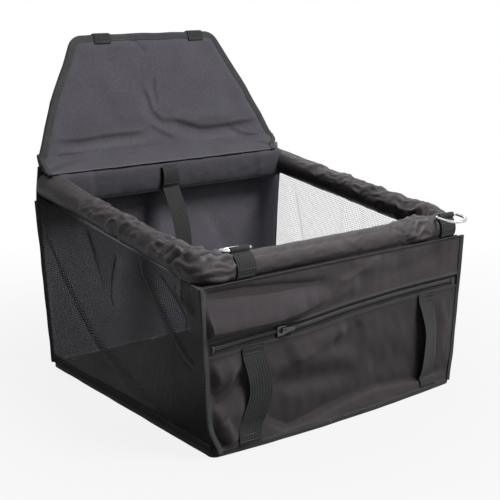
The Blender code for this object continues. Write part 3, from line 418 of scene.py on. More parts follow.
def make_cloth(name, points, thickness, finish, uv=None):
    """A sheet of cloth over a grid of points, which are its outer side, where rows cross columns points outward."""
    if uv is None:
        uv = np.stack([lengths_along(points, 0), lengths_along(points, 1)], axis=-1)
    skin = Skin()
    skin.add_shell(points, points - grid_normals(points) * thickness, uv)
    return skin.piece(name, finish)


def ring_uv(points):
    """Cloth coordinates over rings of points that close on themselves."""
    looped = np.concatenate([points, points[:, :1]], axis=1)
    return np.stack([lengths_along(looped, 0), lengths_along(looped, 1)], axis=-1)


def make_tube(name, rings, finish, sharp=50):
    """One solid through rings of points."""
    skin = Skin()
    skin.add_tube(rings)
    return skin.piece(name, finish, sharp)


def make_hollow_tube(name, outer_rings, inner_rings, finish):
    """A tube of cloth between outer and inner rings, open at both ends."""
    skin = Skin()
    outer, inner, uv = skin.add_points(outer_rings), skin.add_points(inner_rings), ring_uv(outer_rings)
    skin.add_grid(outer, uv, closed=True)
    skin.add_grid(inner, uv, closed=True)
    for end in (0, -1):
        skin.add_strip(outer[end], inner[end], uv[end, :-1])
    return skin.piece(name, finish)


def line_frames(line, across, closed=False):
    """The side vector and the normal at each point of a line."""
    if closed:
        tangent = unit(np.roll(line, -1, axis=0) - np.roll(line, 1, axis=0))
    else:
        tangent = unit(np.gradient(line, axis=0))
    across = np.broadcast_to(np.array(across, float), line.shape)
    across = unit(across - tangent * np.sum(across * tangent, axis=1, keepdims=True))
    return across, np.cross(tangent, across)


def round_rings(line, across, radius, sides, closed=False):
    """Round rings of points along a line, of one radius or one for each point."""
    side, normal = line_frames(line, across, closed)
    turn = np.linspace(0, 2 * pi, sides, endpoint=False)
    radius = np.broadcast_to(radius, len(line))[:, None, None]
    return line[:, None] + radius * (side[:, None] * np.cos(turn)[None, :, None]
                                     + normal[:, None] * np.sin(turn)[None, :, None])


def section_rings(line, across, section):
    """Rings of points that carry a section along a line: steps to its side and off it."""
    side, normal = line_frames(line, across)
    return line[:, None] + side[:, None] * section[None, :, :1] + normal[:, None] * section[None, :, 1:]


def make_strap(name, line, width, lift=None, across=(1, 0, 0)):
    """Ribbed webbing along a line, thinner at its edges. Lift bends the edges away from the middle."""
    size = sizes()
    line = resample(line, size.rib / 4)
    side, normal = line_frames(line, across)
    run, place = run_along(line), np.linspace(-1, 1, STRAP_COLUMNS)
    half = size.webbing / 2 * (1 - np.abs(place) ** 10 * 0.45)
    ribs = 1 - 0.30 * (0.5 - 0.5 * np.cos(2 * pi * run / size.rib))
    top = ribs[:, None] * half[None, :]
    curl = np.zeros_like(top) if lift is None else lift(run[:, None], place[None, :])
    base = line[:, None] + side[:, None] * (place * width / 2)[None, :, None] + normal[:, None] * curl[..., None]
    rise = normal[:, None] * top[..., None]
    return make_tube(name, np.concatenate([base + rise, (base - rise)[:, ::-1]], axis=1), "webbing", 75)


def subdivide(item):
    """One subdivision of the mesh."""
    item.modifiers.new("subdivision", "SUBSURF").levels = 1
    graph = bpy.context.evaluated_depsgraph_get()
    finer = bpy.data.meshes.new_from_object(item.evaluated_get(graph), preserve_all_data_layers=True, depsgraph=graph)
    item.modifiers.clear()
    item.data = finer


# Materials

class Finish:
    """A node material in the making."""

    def __init__(self, name, roughness, metallic=0.0, sheen=0.0, specular=0.5):
        self.material = bpy.data.materials.new(name)
        self.material.use_nodes = True
        self.nodes, self.links = self.material.node_tree.nodes, self.material.node_tree.links
        self.shader = self.nodes["Principled BSDF"]
        for key, number in (("Roughness", roughness), ("Metallic", metallic), ("Sheen Weight", sheen),
                            ("Sheen Roughness", 0.5), ("Specular IOR Level", specular)):
            self.shader.inputs[key].default_value = number

    def feed(self, socket, value):
        if isinstance(value, bpy.types.NodeSocket):
            self.links.new(value, socket)
        else:
            socket.default_value = value

    def math(self, operation, *values):
        node = self.nodes.new("ShaderNodeMath")
        node.operation = operation
        for socket, value in zip(node.inputs, values):
            self.feed(socket, value)
        return node.outputs[0]

    def add(self, total, *values):
        for value in values:
            total = self.math("ADD", total, value)
        return total

    def times(self, first, second):
        return self.math("MULTIPLY", first, second)

    def cloth_place(self):
        """The piece's cloth coordinates in metres, as a vector and as its two numbers."""
        node = self.nodes.new("ShaderNodeUVMap")
        node.uv_map = UV_NAME
        parts = self.nodes.new("ShaderNodeSeparateXYZ")
        self.links.new(node.outputs[0], parts.inputs[0])
        return node.outputs[0], parts.outputs[0], parts.outputs[1]

    def noise(self, place, size, detail=2.0, roughness=0.5, stretch=(1, 1, 1)):
        mapping = self.nodes.new("ShaderNodeMapping")
        self.links.new(place, mapping.inputs["Vector"])
        mapping.inputs["Scale"].default_value = stretch
        node = self.nodes.new("ShaderNodeTexNoise")
        self.links.new(mapping.outputs[0], node.inputs["Vector"])
        for key, number in (("Scale", 1 / size), ("Detail", detail), ("Roughness", roughness)):
            node.inputs[key].default_value = number
        return node.outputs[0]

    def wave(self, place, pitch):
        return self.math("SINE", self.times(place, 2 * pi / pitch))

    def spread(self, value, low, high, to_low=0.0, to_high=1.0):
        node = self.nodes.new("ShaderNodeMapRange")
        self.feed(node.inputs["Value"], value)
        for key, number in (("From Min", low), ("From Max", high), ("To Min", to_low), ("To Max", to_high)):
            node.inputs[key].default_value = number
        return node.outputs[0]

    def painted_fold_shading(self, low, high, shade_range):
        """Painted shade in the hollows of the cloth and a painted highlight on its crests, from the mesh's
        pointiness.
        """
        pointiness = self.nodes.new("ShaderNodeNewGeometry").outputs["Pointiness"]
        return self.spread(self.spread(pointiness, low, high), 0.0, 1.0, -shade_range, shade_range)

    def blend(self, factor, first, second):
        node = self.nodes.new("ShaderNodeMix")
        node.data_type = "RGBA"
        self.feed(node.inputs["Factor"], factor)
        for socket, colour in ((node.inputs[6], first), (node.inputs[7], second)):
            self.feed(socket, (*colour, 1) if isinstance(colour, tuple) else colour)
        return node.outputs[2]

    def bump(self, height, depth, normal=None):
        node = self.nodes.new("ShaderNodeBump")
        node.inputs["Strength"].default_value = 1.0
        node.inputs["Distance"].default_value = depth
        self.feed(node.inputs["Height"], height)
        if normal is not None:
            self.links.new(normal, node.inputs["Normal"])
        return node.outputs[0]

    def done(self, colour, roughness, normal):
        for key, value in (("Base Color", colour), ("Roughness", roughness), ("Normal", normal)):
            self.links.new(value, self.shader.inputs[key])
        return self.material


def shade(colour, share):
    """A lighter or darker shade of a colour."""
    return tuple(min(c * share, 1.0) for c in colour)


def woven_finish(name, colour, roughness=0.80):
    """Plain woven cloth: crossing threads, uneven yarn and faded patches."""
    finish = Finish(name, roughness, sheen=0.06, specular=0.10)
    place, across, along = finish.cloth_place()
    pitch = sizes().weave
    weave = finish.times(finish.wave(across, pitch), finish.wave(along, pitch))
    grain = finish.add(finish.noise(place, 0.0016, 3.0, 0.6, (1.0, 0.35, 1.0)),
                       finish.noise(place, 0.0016, 3.0, 0.6, (0.35, 1.0, 1.0)))
    patch = finish.noise(place, 0.045, 3.0, 0.55)
    # the mix holds painted shade in the cloth's hollows and a painted highlight on its crests
    mixed = finish.add(finish.times(finish.math("MULTIPLY_ADD", weave, 0.5, 0.5), 0.30),
                       finish.times(finish.add(grain, -0.5), 0.84),
                       finish.times(finish.add(patch, -0.5), 0.5),
                       finish.painted_fold_shading(0.485, 0.530, 0.35))
    base = finish.blend(finish.spread(mixed, -0.2, 1.1), shade(colour, 0.50), shade(colour, 1.52))
    rough = finish.spread(grain, 0.6, 1.4, roughness - 0.08, roughness + 0.08)
    return finish.done(base, rough, finish.bump(finish.add(finish.times(weave, 0.55), grain), 0.00016))


def sleeve_finish(name, colour):
    """Fine twill with a soft sheen, for the padded rim."""
    finish = Finish(name, 0.32, specular=0.10)
    place, across, along = finish.cloth_place()
    twill = finish.wave(finish.add(across, along), sizes().weave * 0.6)
    patch = finish.noise(place, 0.03, 3.0, 0.6)
    grain = finish.noise(place, 0.0012, 2.0, 0.6)
    crush = finish.noise(place, 0.011, 4.0, 0.62, (1.0, 0.45, 1.0))
    # the mix holds painted shade in the sleeve's hollows and a painted highlight on its crests
    mixed = finish.add(finish.times(patch, 0.6), finish.times(grain, 0.5), finish.painted_fold_shading(0.46, 0.54, 0.42))
    base = finish.blend(finish.spread(mixed, 0.1, 1.0), shade(colour, 0.28), shade(colour, 1.75))
    rough = finish.spread(crush, 0.3, 0.7, 0.30, 0.44)
    height = finish.add(finish.times(twill, 0.4), grain)
    return finish.done(base, rough, finish.bump(height, 0.00008, finish.bump(crush, 0.0006)))


def ribbed_finish(name, colour, pitch, roughness=0.72, sheen=0.05, lines=None):
    """Webbing or tape: ribs across its length, and fine threads along it."""
    finish = Finish(name, roughness, sheen=sheen, specular=0.12)
    place, along, around = finish.cloth_place()
    ribs = finish.wave(along, pitch)
    threads = finish.wave(around, 0.0009)
    fuzz = finish.noise(place, 0.0011, 3.0, 0.65)
    patch = finish.noise(place, 0.02, 2.0, 0.5)
    mixed = finish.add(finish.times(ribs, 0.14), finish.times(threads, 0.10))
    mixed = finish.add(mixed, finish.add(finish.times(fuzz, 0.6), patch))
    base = finish.blend(finish.spread(mixed, 0.35, 1.25), shade(colour, 0.62), shade(colour, 1.42))
    if lines:
        line = finish.spread(finish.wave(around, lines), 0.45, 1.0)
        share = finish.times(line, finish.spread(ribs, -1, 1, 0.35, 0.85))
        base = finish.blend(share, base, shade(colour, 3.5))
    height = finish.add(finish.times(ribs, 0.5), finish.times(threads, 0.35), fuzz)
    rough = finish.spread(fuzz, 0.3, 0.7, roughness - 0.08, roughness + 0.1)
    return finish.done(base, rough, finish.bump(height, 0.00014))


def plain_finish(name, colour, roughness, grain_size, depth, metallic=0.0, spread=0.12, wear=0.2):
    """A moulded or metal surface: fine grain, faint blotches and rubbed spots."""
    finish = Finish(name, roughness, metallic=metallic)
    place = finish.nodes.new("ShaderNodeTexCoord").outputs["Object"]
    grain = finish.noise(place, grain_size, 3.0, 0.55)
    patch = finish.noise(place, grain_size * 12, 3.0, 0.6)
    base = finish.blend(finish.spread(patch, 0.3, 0.7), shade(colour, 1 - wear), shade(colour, 1 + wear / 2))
    rough = finish.spread(finish.add(grain, patch), 0.6, 1.4, roughness - spread, roughness + spread)
    return finish.done(base, rough, finish.bump(grain, depth))


FINISHES = {}


def make_finishes():
    """Every finish of the seat, by the name that its pieces give."""
    colour, rib = colours(), sizes().rib
    FINISHES.update({
        "flap_cloth": woven_finish("flap_cloth_weave", colour.flap),
        # painted shade: the hinge band is the flap's cloth made a little darker, for the shade on its upturned ledge
        "hem_cloth_painted_shade": woven_finish("flap_hem_weave", shade(colour.flap, 0.93)),
        # painted light: the back wall is the flap's cloth made lighter, to lift the shadow that falls under the
        # tunnel
        "wall_cloth_painted_light": woven_finish("back_wall_weave", shade(colour.flap, 1.38)),
        # painted shade: the tunnel is the flap's cloth made darker, for the shade on its band
        "tunnel_cloth_painted_shade": woven_finish("tunnel_weave", shade(colour.flap, 0.68)),
        "front_cloth": woven_finish("front_cloth_weave", colour.front, roughness=0.62),
        # painted shade: the pocket is the front's cloth made darker, for the shade on its slumped cloth
        "pocket_cloth": woven_finish("pocket_cloth_weave", shade(colour.front, 0.74), roughness=0.62),
        "lining": woven_finish("lining_weave", colour.lining, roughness=0.85),
        "sleeve_cloth": sleeve_finish("sleeve_twill", colour.sleeve),
        "binding": ribbed_finish("binding_tape", colour.binding, rib * 0.6),
        # painted shade: the base's tape is the binding made darker, for the shade low by the floor and along the
        # sides
        "base_binding": ribbed_finish("base_binding_tape", shade(colour.binding, 0.75), rib * 0.6),
        "webbing": ribbed_finish("webbing_ribs", colour.webbing, rib, lines=0.0034),
        "net": ribbed_finish("net_yarn", colour.net, 0.0006, 0.6, 0.1),
        # painted highlight: where the net lies double its yarn is made over three times lighter, for light on the
        # folds
        "net_fold_painted_highlight": ribbed_finish("net_yarn_doubled", shade(colour.net, 3.2), 0.0006, 0.6, 0.1),
        "thread": ribbed_finish("stitching_thread", colour.thread, 0.0007, 0.55, 0.3),
        "zip_tape": ribbed_finish("zip_tape_twill", colour.zip, 0.0008, 0.75, 0.15),
        "zip": plain_finish("zip_coil", colour.zip, 0.38, 0.0005, 0.00002),
        "chrome": plain_finish("ring_chrome", colour.chrome, 0.17, 0.0006, 0.000004, 1.0, wear=0.1,
                               spread=0.05),
        "nickel": plain_finish("slider_nickel", colour.nickel, 0.28, 0.0005, 0.00001, 1.0),
        "pipe": plain_finish("rim_pipe_plastic", colour.pipe, 0.42, 0.0008, 0.00002, wear=0.08),
        "board": plain_finish("base_board_fibre", colour.board, 0.82, 0.0012, 0.0001),
    })


def seat_piece(item, body, slot, *nodes):
    """Puts a piece on its body and stands it in for its nodes. Its slot is not used."""
    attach(item, body)
    if nodes:
        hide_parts(*nodes)


def sew(name, rows, body, slot, length=None, gap=None):
    """Short threads along lines that lie on the cloth. A row is its points and the direction off the cloth."""
    size = sizes()
    length, gap, radius = length or size.stitch, gap or size.stitch_gap, size.thread
    turn = np.linspace(0, 2 * pi, THREAD_SIDES, endpoint=False)
    stations, swell, sink = (np.array(values)[:, None, None] for values in zip(*THREAD_STATIONS))
    skin = Skin()
    for points, away in rows:
        line = resample(points, length + gap)
        middle, along = (line[1:] + line[:-1]) / 2, unit(line[1:] - line[:-1])
        away = np.array(away, float)
        if away.ndim == 2:
            source, target = np.linspace(0, 1, len(away)), np.linspace(0, 1, len(middle))
            away = np.stack([np.interp(target, source, away[:, k]) for k in range(3)], axis=1)
        away = unit(away - along * np.sum(away * along, axis=1, keepdims=True))
        for centre, t, n, s in zip(middle, along, away, np.cross(along, away)):
            skin.add_tube(centre + t * (stations * length) + n * (sink * radius)
                          + swell * radius * (s * np.cos(turn)[None, :, None] + n * np.sin(turn)[None, :, None]))
    seat_piece(skin.piece(name, "thread", 80), body, slot)


def dress_nodes(finish, *names):
    """Gives carried nodes their finish."""
    for name in names:
        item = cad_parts[name]
        item.data.materials.clear()
        item.data.materials.append(FINISHES[finish])


class SeatPart(bpy.types.Operator):
    """Makes one group of the seat's pieces."""

    bl_options = {"REGISTER", "UNDO"}


# Flap

def on_flap(x, height, away):
    """Points in the flap's leaning plane: across, up from the hinge, and this far before its middle."""
    x, height, away = np.broadcast_arrays(x, height, away)
    side = np.array([1.0, 0, 0])
    return HINGE + x[..., None] * side + height[..., None] * FLAP_UP + away[..., None] * FLAP_OUT


def flap_outline():
    """The flap's open outline as x and height, from its lower left corner over the top."""
    rising = FLAP_CORNERS[:2] + fillet(*FLAP_CORNERS[1:4], FLAP_ROUND, 8)
    falling = fillet(*FLAP_CORNERS[2:5], FLAP_ROUND, 8) + FLAP_CORNERS[4:]
    return np.array(rising + falling)


def flap_edges(height):
    """The flap's left and right edge at this height."""
    outline = flap_outline()
    half = len(outline) // 2
    left, right = outline[:half], outline[half:][::-1]
    return np.interp(height, left[:, 1], left[:, 0]), np.interp(height, right[:, 1], right[:, 0])


def from_flap_side(x, height):
    """How far in from the flap's nearer side."""
    left, right = flap_edges(height)
    return np.minimum(x - left, right - x)


def flap_sway(x, height):
    """How the whole flap bows out of its plane."""
    return 0.0016 * ripples(x, height, 11, 0.21) * smooth(height / 0.05)


FLAP_CREASES = [
    # line as x and height, depth, width on the left and on the right of it
    ([(-0.185, 0.0262), (-0.131, 0.0222), (-0.085, 0.0252), (-0.036, 0.0255), (-0.017, 0.0390)],
     -0.0034, 0.0036, 0.0100),
    ([(-0.030, 0.0385), (-0.007, 0.0240), (0.020, 0.0110)], -0.0020, 0.0040, 0.0095),
    ([(-0.003, 0.1050), (-0.005, 0.0860), (-0.004, 0.0590)], -0.0014, 0.0034, 0.0060),
    ([(-0.027, 0.1000), (-0.018, 0.0700), (-0.016, 0.0539), (-0.002, 0.0390), (0.017, 0.0370)],
     -0.0023, 0.0038, 0.0095),
    ([(-0.020, 0.0440), (0.000, 0.0400), (0.020, 0.0365), (0.038, 0.0305), (0.058, 0.0240), (0.080, 0.0228),
      (0.110, 0.0244), (0.178, 0.0290)], -0.0046, 0.0044, 0.0130),
    ([(0.098, 0.0300), (0.130, 0.0110), (0.172, -0.0010)], -0.0022, 0.0036, 0.0075),
    ([(-0.196, -0.004), (-0.163, 0.0060), (-0.125, 0.0060)], -0.0021, 0.0032, 0.0050),
    ([(-0.196, -0.009), (-0.165, -0.0010), (-0.138, 0.0035)], -0.0013, 0.0028, 0.0040),
    ([(-0.034, 0.165), (-0.020, 0.147), (-0.006, 0.132)], -0.0009, 0.0040, 0.0060),
    ([(-0.080, 0.056), (-0.030, 0.050), (-0.010, 0.058)], 0.0012, 0.012, 0.010),
    ([(0.000, 0.052), (0.050, 0.042), (0.130, 0.044)], 0.0016, 0.012, 0.010),
    ([(-0.170, 0.013), (-0.090, 0.012), (-0.010, 0.014)], 0.0016, 0.008, 0.008),
    ([(0.010, 0.012), (0.060, 0.007), (0.120, 0.012)], 0.0016, 0.009, 0.008),
    ([(-0.110, 0.130), (-0.070, 0.095), (-0.055, 0.050)], 0.0008, 0.018, 0.018),
    ([(0.030, 0.140), (0.070, 0.095), (0.130, 0.075)], 0.0009, 0.020, 0.016),
]


def flap_relief(x, height):
    """Creases and soft waves of the flap's front cloth."""
    waves = 0.0007 * ripples(x, height, 5, 0.075) + 0.00035 * ripples(x, height, 6, 0.03)
    return creased(waves, x, height, FLAP_CREASES, 0.32)


def flap_surface(x, height):
    """The front skin's distance before the flap's middle."""
    edge = np.minimum(from_flap_side(x, height) * FLAP_SIDE_SLANT, FLAP_HEIGHT - height)
    inside = smooth(edge / FLAP_CROWN)
    swell = FLAP_EDGE + (sizes().pad - FLAP_EDGE) * inside
    return swell + flap_relief(x, height) * inside + flap_sway(x, height)


class SEAT_OT_flap(SeatPart):
    """Padded flap with its edge tape, stitching and top loops."""

    bl_idname = "seat.flap"
    bl_label = "Flap"

    def execute(self, context):
        make_flap_pad()
        make_flap_tape()
        make_top_loops()
        make_hinge_cloth()
        return {"FINISHED"}


def make_flap_pad():
    """The padded flap: its front and rear skin."""
    height, share = row_grid(FLAP_FOOT, FLAP_HEIGHT, 84, 190)
    left, right = flap_edges(height)
    x = (left + right) / 2 + share * (right - left) / 2
    front, sway = flap_surface(x, height), flap_sway(x, height)
    rear = -(front - sway - 0.8 * flap_relief(x, height) * smooth((FLAP_HEIGHT - height) / FLAP_CROWN)) + sway
    rear = rear - 0.0006 * ripples(x, height, 8, 0.06) * smooth(from_flap_side(x, height) / 0.02)
    rear = np.minimum(rear, front - FLAP_LEAST)
    skin = Skin()
    skin.add_shell(on_flap(x, height, front), on_flap(x, height, rear), np.stack([x, height], axis=-1))
    pad = skin.piece("flap_pad", "flap_cloth")
    seat_piece(pad, "backrest", "flap_cloth", "backrest_face", "backrest_rear", "backrest_foam")


# Section of the flap's tape: out from its edge, and off its middle
TAPE_PROFILE = [(-0.0088, 0.0028), (-0.0045, 0.0030), (-0.0005, 0.0028), (0.0008, 0.0018), (0.0012, 0.0),
                (0.0008, -0.0018), (-0.0005, -0.0028), (-0.0045, -0.0030), (-0.0088, -0.0028),
                (-0.0088, -0.0021), (-0.0045, -0.0021), (0.0, -0.0019), (0.0, 0.0019), (-0.0045, 0.0021),
                (-0.0088, 0.0021)]


def make_flap_tape():
    """The tape folded over the flap's edge, and its stitches."""
    outline = resample(flap_outline(), PATH_STEP)
    mitres = side_steps(outline)
    for end in (0, -1):
        mitres[end] = (1 / mitres[end][0], 0)
    profile = np.array(TAPE_PROFILE)
    run = np.arange(len(outline)) * PATH_STEP
    wobble = 0.0005 * ripples(run, 0, 21, 0.035)
    places = outline[:, None] + mitres[:, None] * (profile[None, :, :1] + wobble[:, None, None])
    sway = flap_sway(outline[:, 0], outline[:, 1])
    away = profile[None, :, 1] * (1 + 0.12 * ripples(run, 0, 22, 0.02))[:, None] + sway[:, None]
    tape = make_tube("flap_tape", on_flap(places[..., 0], places[..., 1], away), "binding")
    seat_piece(tape, "backrest", "binding", "backrest_binding")
    seam = outline - 0.0072 * side_steps(outline)
    rows = [(on_flap(seam[:, 0], seam[:, 1], side * 0.0031 + sway), side * FLAP_OUT) for side in (1, -1)]
    sew("flap_tape_stitches", rows, "backrest", "binding")


LOOP_MIDDLE = 0.075


def make_top_loops():
    """Webbing loops over the flap's top edge, sewn to its front and its back."""
    rows = []
    for name, centre in (("left", -LOOP_MIDDLE), ("right", LOOP_MIDDLE)):
        sway = float(flap_sway(np.array(centre), np.array(FLAP_HEIGHT)))
        front, rear, top = 0.0040 + sway, sway - 0.0040, FLAP_HEIGHT + 0.0022
        pairs = [(front, 0.1495), (front, top - 0.0015), (front - 0.0018, top), (rear + 0.0012, top),
                 (rear - 0.0008, top - 0.0012), (-0.0146, 0.1538), (-0.0146, 0.1318), (rear - 0.0004, 0.1185),
                 (rear, 0.1085)]
        away, height = rounded(pairs, LINE_STEP, 10).T
        lean = 0.0004 * sin(centre * 40)
        loop = make_strap("top_loop_webbing_" + name, on_flap(centre, height, away), TAB_WIDTH, across=(1, lean, 0))
        seat_piece(loop, "backrest", "webbing", "top_loop_" + name)
        edges = np.array([centre - SEAM_HALF, centre + SEAM_HALF])
        for height, off, out in ((0.1515, front + 0.0008, FLAP_OUT), (0.1570, front + 0.0008, FLAP_OUT),
                                 (0.1125, rear - 0.0008, -FLAP_OUT)):
            rows.append((on_flap(edges, height, off), out))
    sew("top_loop_stitches", rows, "backrest", "webbing", TACK_LENGTH, 0.0005)


# Section of the hinge cloth, as y and z
HINGE_PROFILE = [(0.18341, 0.28530), (0.17962, 0.28064), (0.17690, 0.27759), (0.1735, 0.2745), (0.1690, 0.2717),
                 (0.1640, 0.2691), (0.1590, 0.2667), (0.1545, 0.2648), (0.1518, 0.2637), (0.1506, 0.2629),
                 (0.1514, 0.2620), (0.1560, 0.2628), (0.1640, 0.2644), (0.1760, 0.2650), (0.1822, 0.2632),
                 (0.1836, 0.2690), (0.1843, 0.2725), (0.1872, 0.2830)]


def hinge_ends(y):
    """How far the hinge cloth reaches to each side."""
    skirt = smooth((0.176 - y) / 0.024)
    return -0.1930 - 0.0030 * skirt, 0.1836 - 0.0190 * skirt


def hinge_points(x, profile):
    """The hinge cloth's section at each x, which follows the flap's front cloth where it leaves it."""
    y, z = profile[..., 0], profile[..., 1]
    height = np.full(np.shape(x), 0.0075)
    follow = (flap_surface(x, height) - 0.0033) * smooth((z - 0.2660) / 0.013)
    skirt, low = smooth((0.176 - y) / 0.024), smooth((HINGE[2] + 0.004 - z) / 0.012)
    wave = 0.0009 * ripples(x, 0, 32, 0.11) + 0.0006 * ripples(x, 0, 33, 0.035)
    fold = creased(0, x, z, HINGE_CREASES) * skirt * (1 - skirt) * 4
    return points_at(x, y + follow * FLAP_OUT[1] - fold,
                     z + follow * FLAP_OUT[2] + wave * low * (1 - 0.6 * skirt) + fold)


HINGE_CREASES = [
    ([(-0.200, 0.2640), (-0.165, 0.2720), (-0.125, 0.2770)], -0.0024, 0.0034, 0.0034),
    ([(-0.190, 0.2760), (-0.160, 0.2800), (-0.140, 0.2840)], -0.0014, 0.0030, 0.0030),
    ([(0.120, 0.2830), (0.150, 0.2740), (0.176, 0.2660)], -0.0022, 0.0034, 0.0034),
]
HINGE_TAPE_PROFILE = [(-0.0052, 0.0), (-0.0048, 0.0011), (0.0, 0.0014), (0.0010, 0.0006), (0.0010, -0.0008),
                      (-0.0048, -0.0012)]


def make_hinge_cloth():
    """The band of cloth from the flap's foot down to the tunnel."""
    profile = rounded(HINGE_PROFILE, 0.0012, 3)
    share = np.linspace(0, 1, 160)[:, None]
    left, right = hinge_ends(profile[:, 0])
    x = left + share * (right - left)
    # the hinge band wears the flap's cloth with painted shade
    band = make_tube("flap_hinge_cloth", hinge_points(x, profile[None]), "hem_cloth_painted_shade")
    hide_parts("backrest_hem")
    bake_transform(band)
    front = rounded(HINGE_PROFILE[1:10], 0.0015, 4)
    for name, end, side in (("left", 0, -1), ("right", 1, 1)):
        line = hinge_points(hinge_ends(front[:, 0])[end], front)
        rings = section_rings(line, (1, 0, 0), np.array(HINGE_TAPE_PROFILE) * (side, 1))
        tape = make_tube("flap_hinge_tape_" + name, rings, "binding")
        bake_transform(tape)


# Back wall and the tunnel for the rear pipe

WALL_TOP = 0.2668
WALL_TOP_HALF = 0.193
WALL_BEND = 0.225  # height from which the back wall's sides lean out to the flap
WALL_BEND_RISE = 0.0437


def wall_half_width(z):
    """Half the back wall's width at this height."""
    side = SIDE_FOOT + z * SIDE_SLOPE - 0.0015
    return np.where(z < WALL_BEND, side, side + (WALL_TOP_HALF - side) * (z - WALL_BEND) / WALL_BEND_RISE)


class SEAT_OT_back(SeatPart):
    """Back wall, and the tunnel of cloth round the rear pipe with its seams."""

    bl_idname = "seat.back"
    bl_label = "Back wall"

    def execute(self, context):
        make_back_wall()
        make_rear_tunnel()
        make_back_tapes()
        return {"FINISHED"}


BACK_CREASES = [
    ([(-0.12, 0.19), (-0.04, 0.12), (0.0, 0.04)], -0.0016, 0.012, 0.020),
    ([(0.06, 0.20), (0.10, 0.12), (0.13, 0.03)], -0.0014, 0.014, 0.010),
]


def back_relief(x, z):
    """How far the back wall stands towards the inside."""
    waves = 0.0009 * ripples(x, z, 41, 0.10) + 0.0003 * ripples(x, z, 42, 0.035)
    return creased(waves, x, z, BACK_CREASES) * smooth(z / 0.03) * smooth((0.215 - z) / 0.03)


def make_back_wall():
    """The back wall's cloth."""
    z, share = row_grid(WALL_FOOT, WALL_TOP, 110, 150)
    x = share * wall_half_width(z)
    y = BACK_FACE - 0.0002 - np.maximum(back_relief(x, z), -0.0025)
    # the back wall's cloth carries painted light against the tunnel's shadow
    wall = make_cloth("back_wall_cloth", points_at(x, y, z)[::-1], 0.0013, "wall_cloth_painted_light",
                      np.stack([x, z], axis=-1)[::-1])
    seat_piece(wall, "root", "flap_cloth", "back_panel")


TUNNEL_MIDDLE = np.array([0.166, 0.2415])
TUNNEL_CLOTH = 0.0008


def tunnel_profile():
    """The tunnel's section as y and z: a flat back, and an upright front that bulges over the pipe."""
    front = [(0.1795, 0.2640), (0.1690, 0.2634), (0.1580, 0.2622), (0.1528, 0.2604), (0.1506, 0.2540),
             (0.1494, 0.2440), (0.1502, 0.2340), (0.1526, 0.2262), (0.1570, 0.2232)]
    back = [(0.1680, 0.2205), (0.1790, 0.2170), (0.1799, 0.2200), (0.1799, 0.2590)]
    return rounded(front + back + [front[0]], 0.0022, 2)[:-1]


def make_rear_tunnel():
    """Cloth round the rear pipe, and its seam to the back wall."""
    profile = tunnel_profile()
    xs = np.linspace(-0.1900, 0.1760, 140)
    x = xs[:, None]
    off = profile - TUNNEL_MIDDLE
    around = np.arctan2(off[:, 1], off[:, 0])[None, :]
    front = smooth((0.1780 - profile[:, 0]) / 0.012)[None, :]
    wave = (0.0007 * ripples(x, around * 0.02, 51, 0.05) + 0.0004 * ripples(x, around * 0.02, 52, 0.018)) * front
    keep = 1 - 0.85 * hump(x - TETHER_X, 0.016)
    swell = 1 + wave * keep / 0.02
    outer = points_at(x, TUNNEL_MIDDLE[0] + off[None, :, 0] * swell, TUNNEL_MIDDLE[1] + off[None, :, 1] * swell)
    outer[..., 1] -= 0.0026 * smooth((np.abs(x) - 0.128) / 0.012) * smooth((0.188 - np.abs(x)) / 0.010) * front
    inner = outer.copy()
    inner[..., 1:] += side_steps(profile, closed=True)[None] * TUNNEL_CLOTH
    # the tunnel's cloth carries painted shade
    tunnel = make_hollow_tube("rear_tunnel", outer, inner, "tunnel_cloth_painted_shade")
    seat_piece(tunnel, "root", "flap_cloth", "rear_sleeve")
    seam = points_at(xs, 0.1528 - 0.0006, 0.2250 + 0.0003 * ripples(xs, 0, 53, 0.08))
    sew("rear_tunnel_stitches", [(seam, (0, -0.9, -0.4))], "root", "flap_cloth")


BACK_TAPE_PROFILE = [(-0.0070, -1.0), (0.0, -1.1), (0.0016, -0.7), (0.0019, 0.0), (0.0016, 0.7), (0.0, 1.1),
                     (-0.0070, 1.0)]


def make_back_tapes():
    """Folded tapes on the back panel's edges, from the side seams up to the flap."""
    rows = []
    z = np.arange(0.2235, 0.2705, 0.002)
    profile = np.array(BACK_TAPE_PROFILE)
    for name, side in (("left", -1), ("right", 1)):
        edge = wall_half_width(z) + 0.0012 - (0.0095 * smooth((z - 0.235) / 0.03) if side > 0 else 0)
        wobble = 0.0004 * ripples(z, 0, 57 + side, 0.03)
        rings = points_at(side * (edge[:, None] + profile[None, :, 0] + wobble[:, None]),
                          BACK_FACE + 0.0005 + 0.0021 * profile[None, :, 1], z[:, None])
        seat_piece(make_tube("back_edge_tape_" + name, rings, "binding"), "root", "binding")
        rows.append((rings[:, 0] * 0.8 + rings[:, 1] * 0.2 + np.array([0, -0.0002, 0]), (0, -1, 0)))
    sew("back_edge_stitches", rows, "root", "binding")


# Padded rim

SLEEVE_CORNER = 0.017
SLEEVE_END = 0.1803
SLEEVE_STEP = 0.0030
SLEEVE_SIDES = 48
CORNER_RUNS = (0.3335, 0.6765)  # where along the sleeve its two front corners are
SLEEVE_EASE = 0.0008  # how softly the sleeve's folds stop at its least radius
HELD_RADIUS = 0.0153  # radius of the sleeve under a ring tab


def rim_path():
    """The rim's centre line in its plane, from the rear left round the front to the rear right."""
    end = SLEEVE_END
    corners = [(-RIM_X, end), (-RIM_X, -RIM_V), (RIM_X, -RIM_V), (RIM_X, end)]
    path = [corners[0]] + fillet(*corners[:3], SLEEVE_CORNER, 16) + fillet(*corners[1:], SLEEVE_CORNER, 16)
    return resample(path + [corners[3]], SLEEVE_STEP)


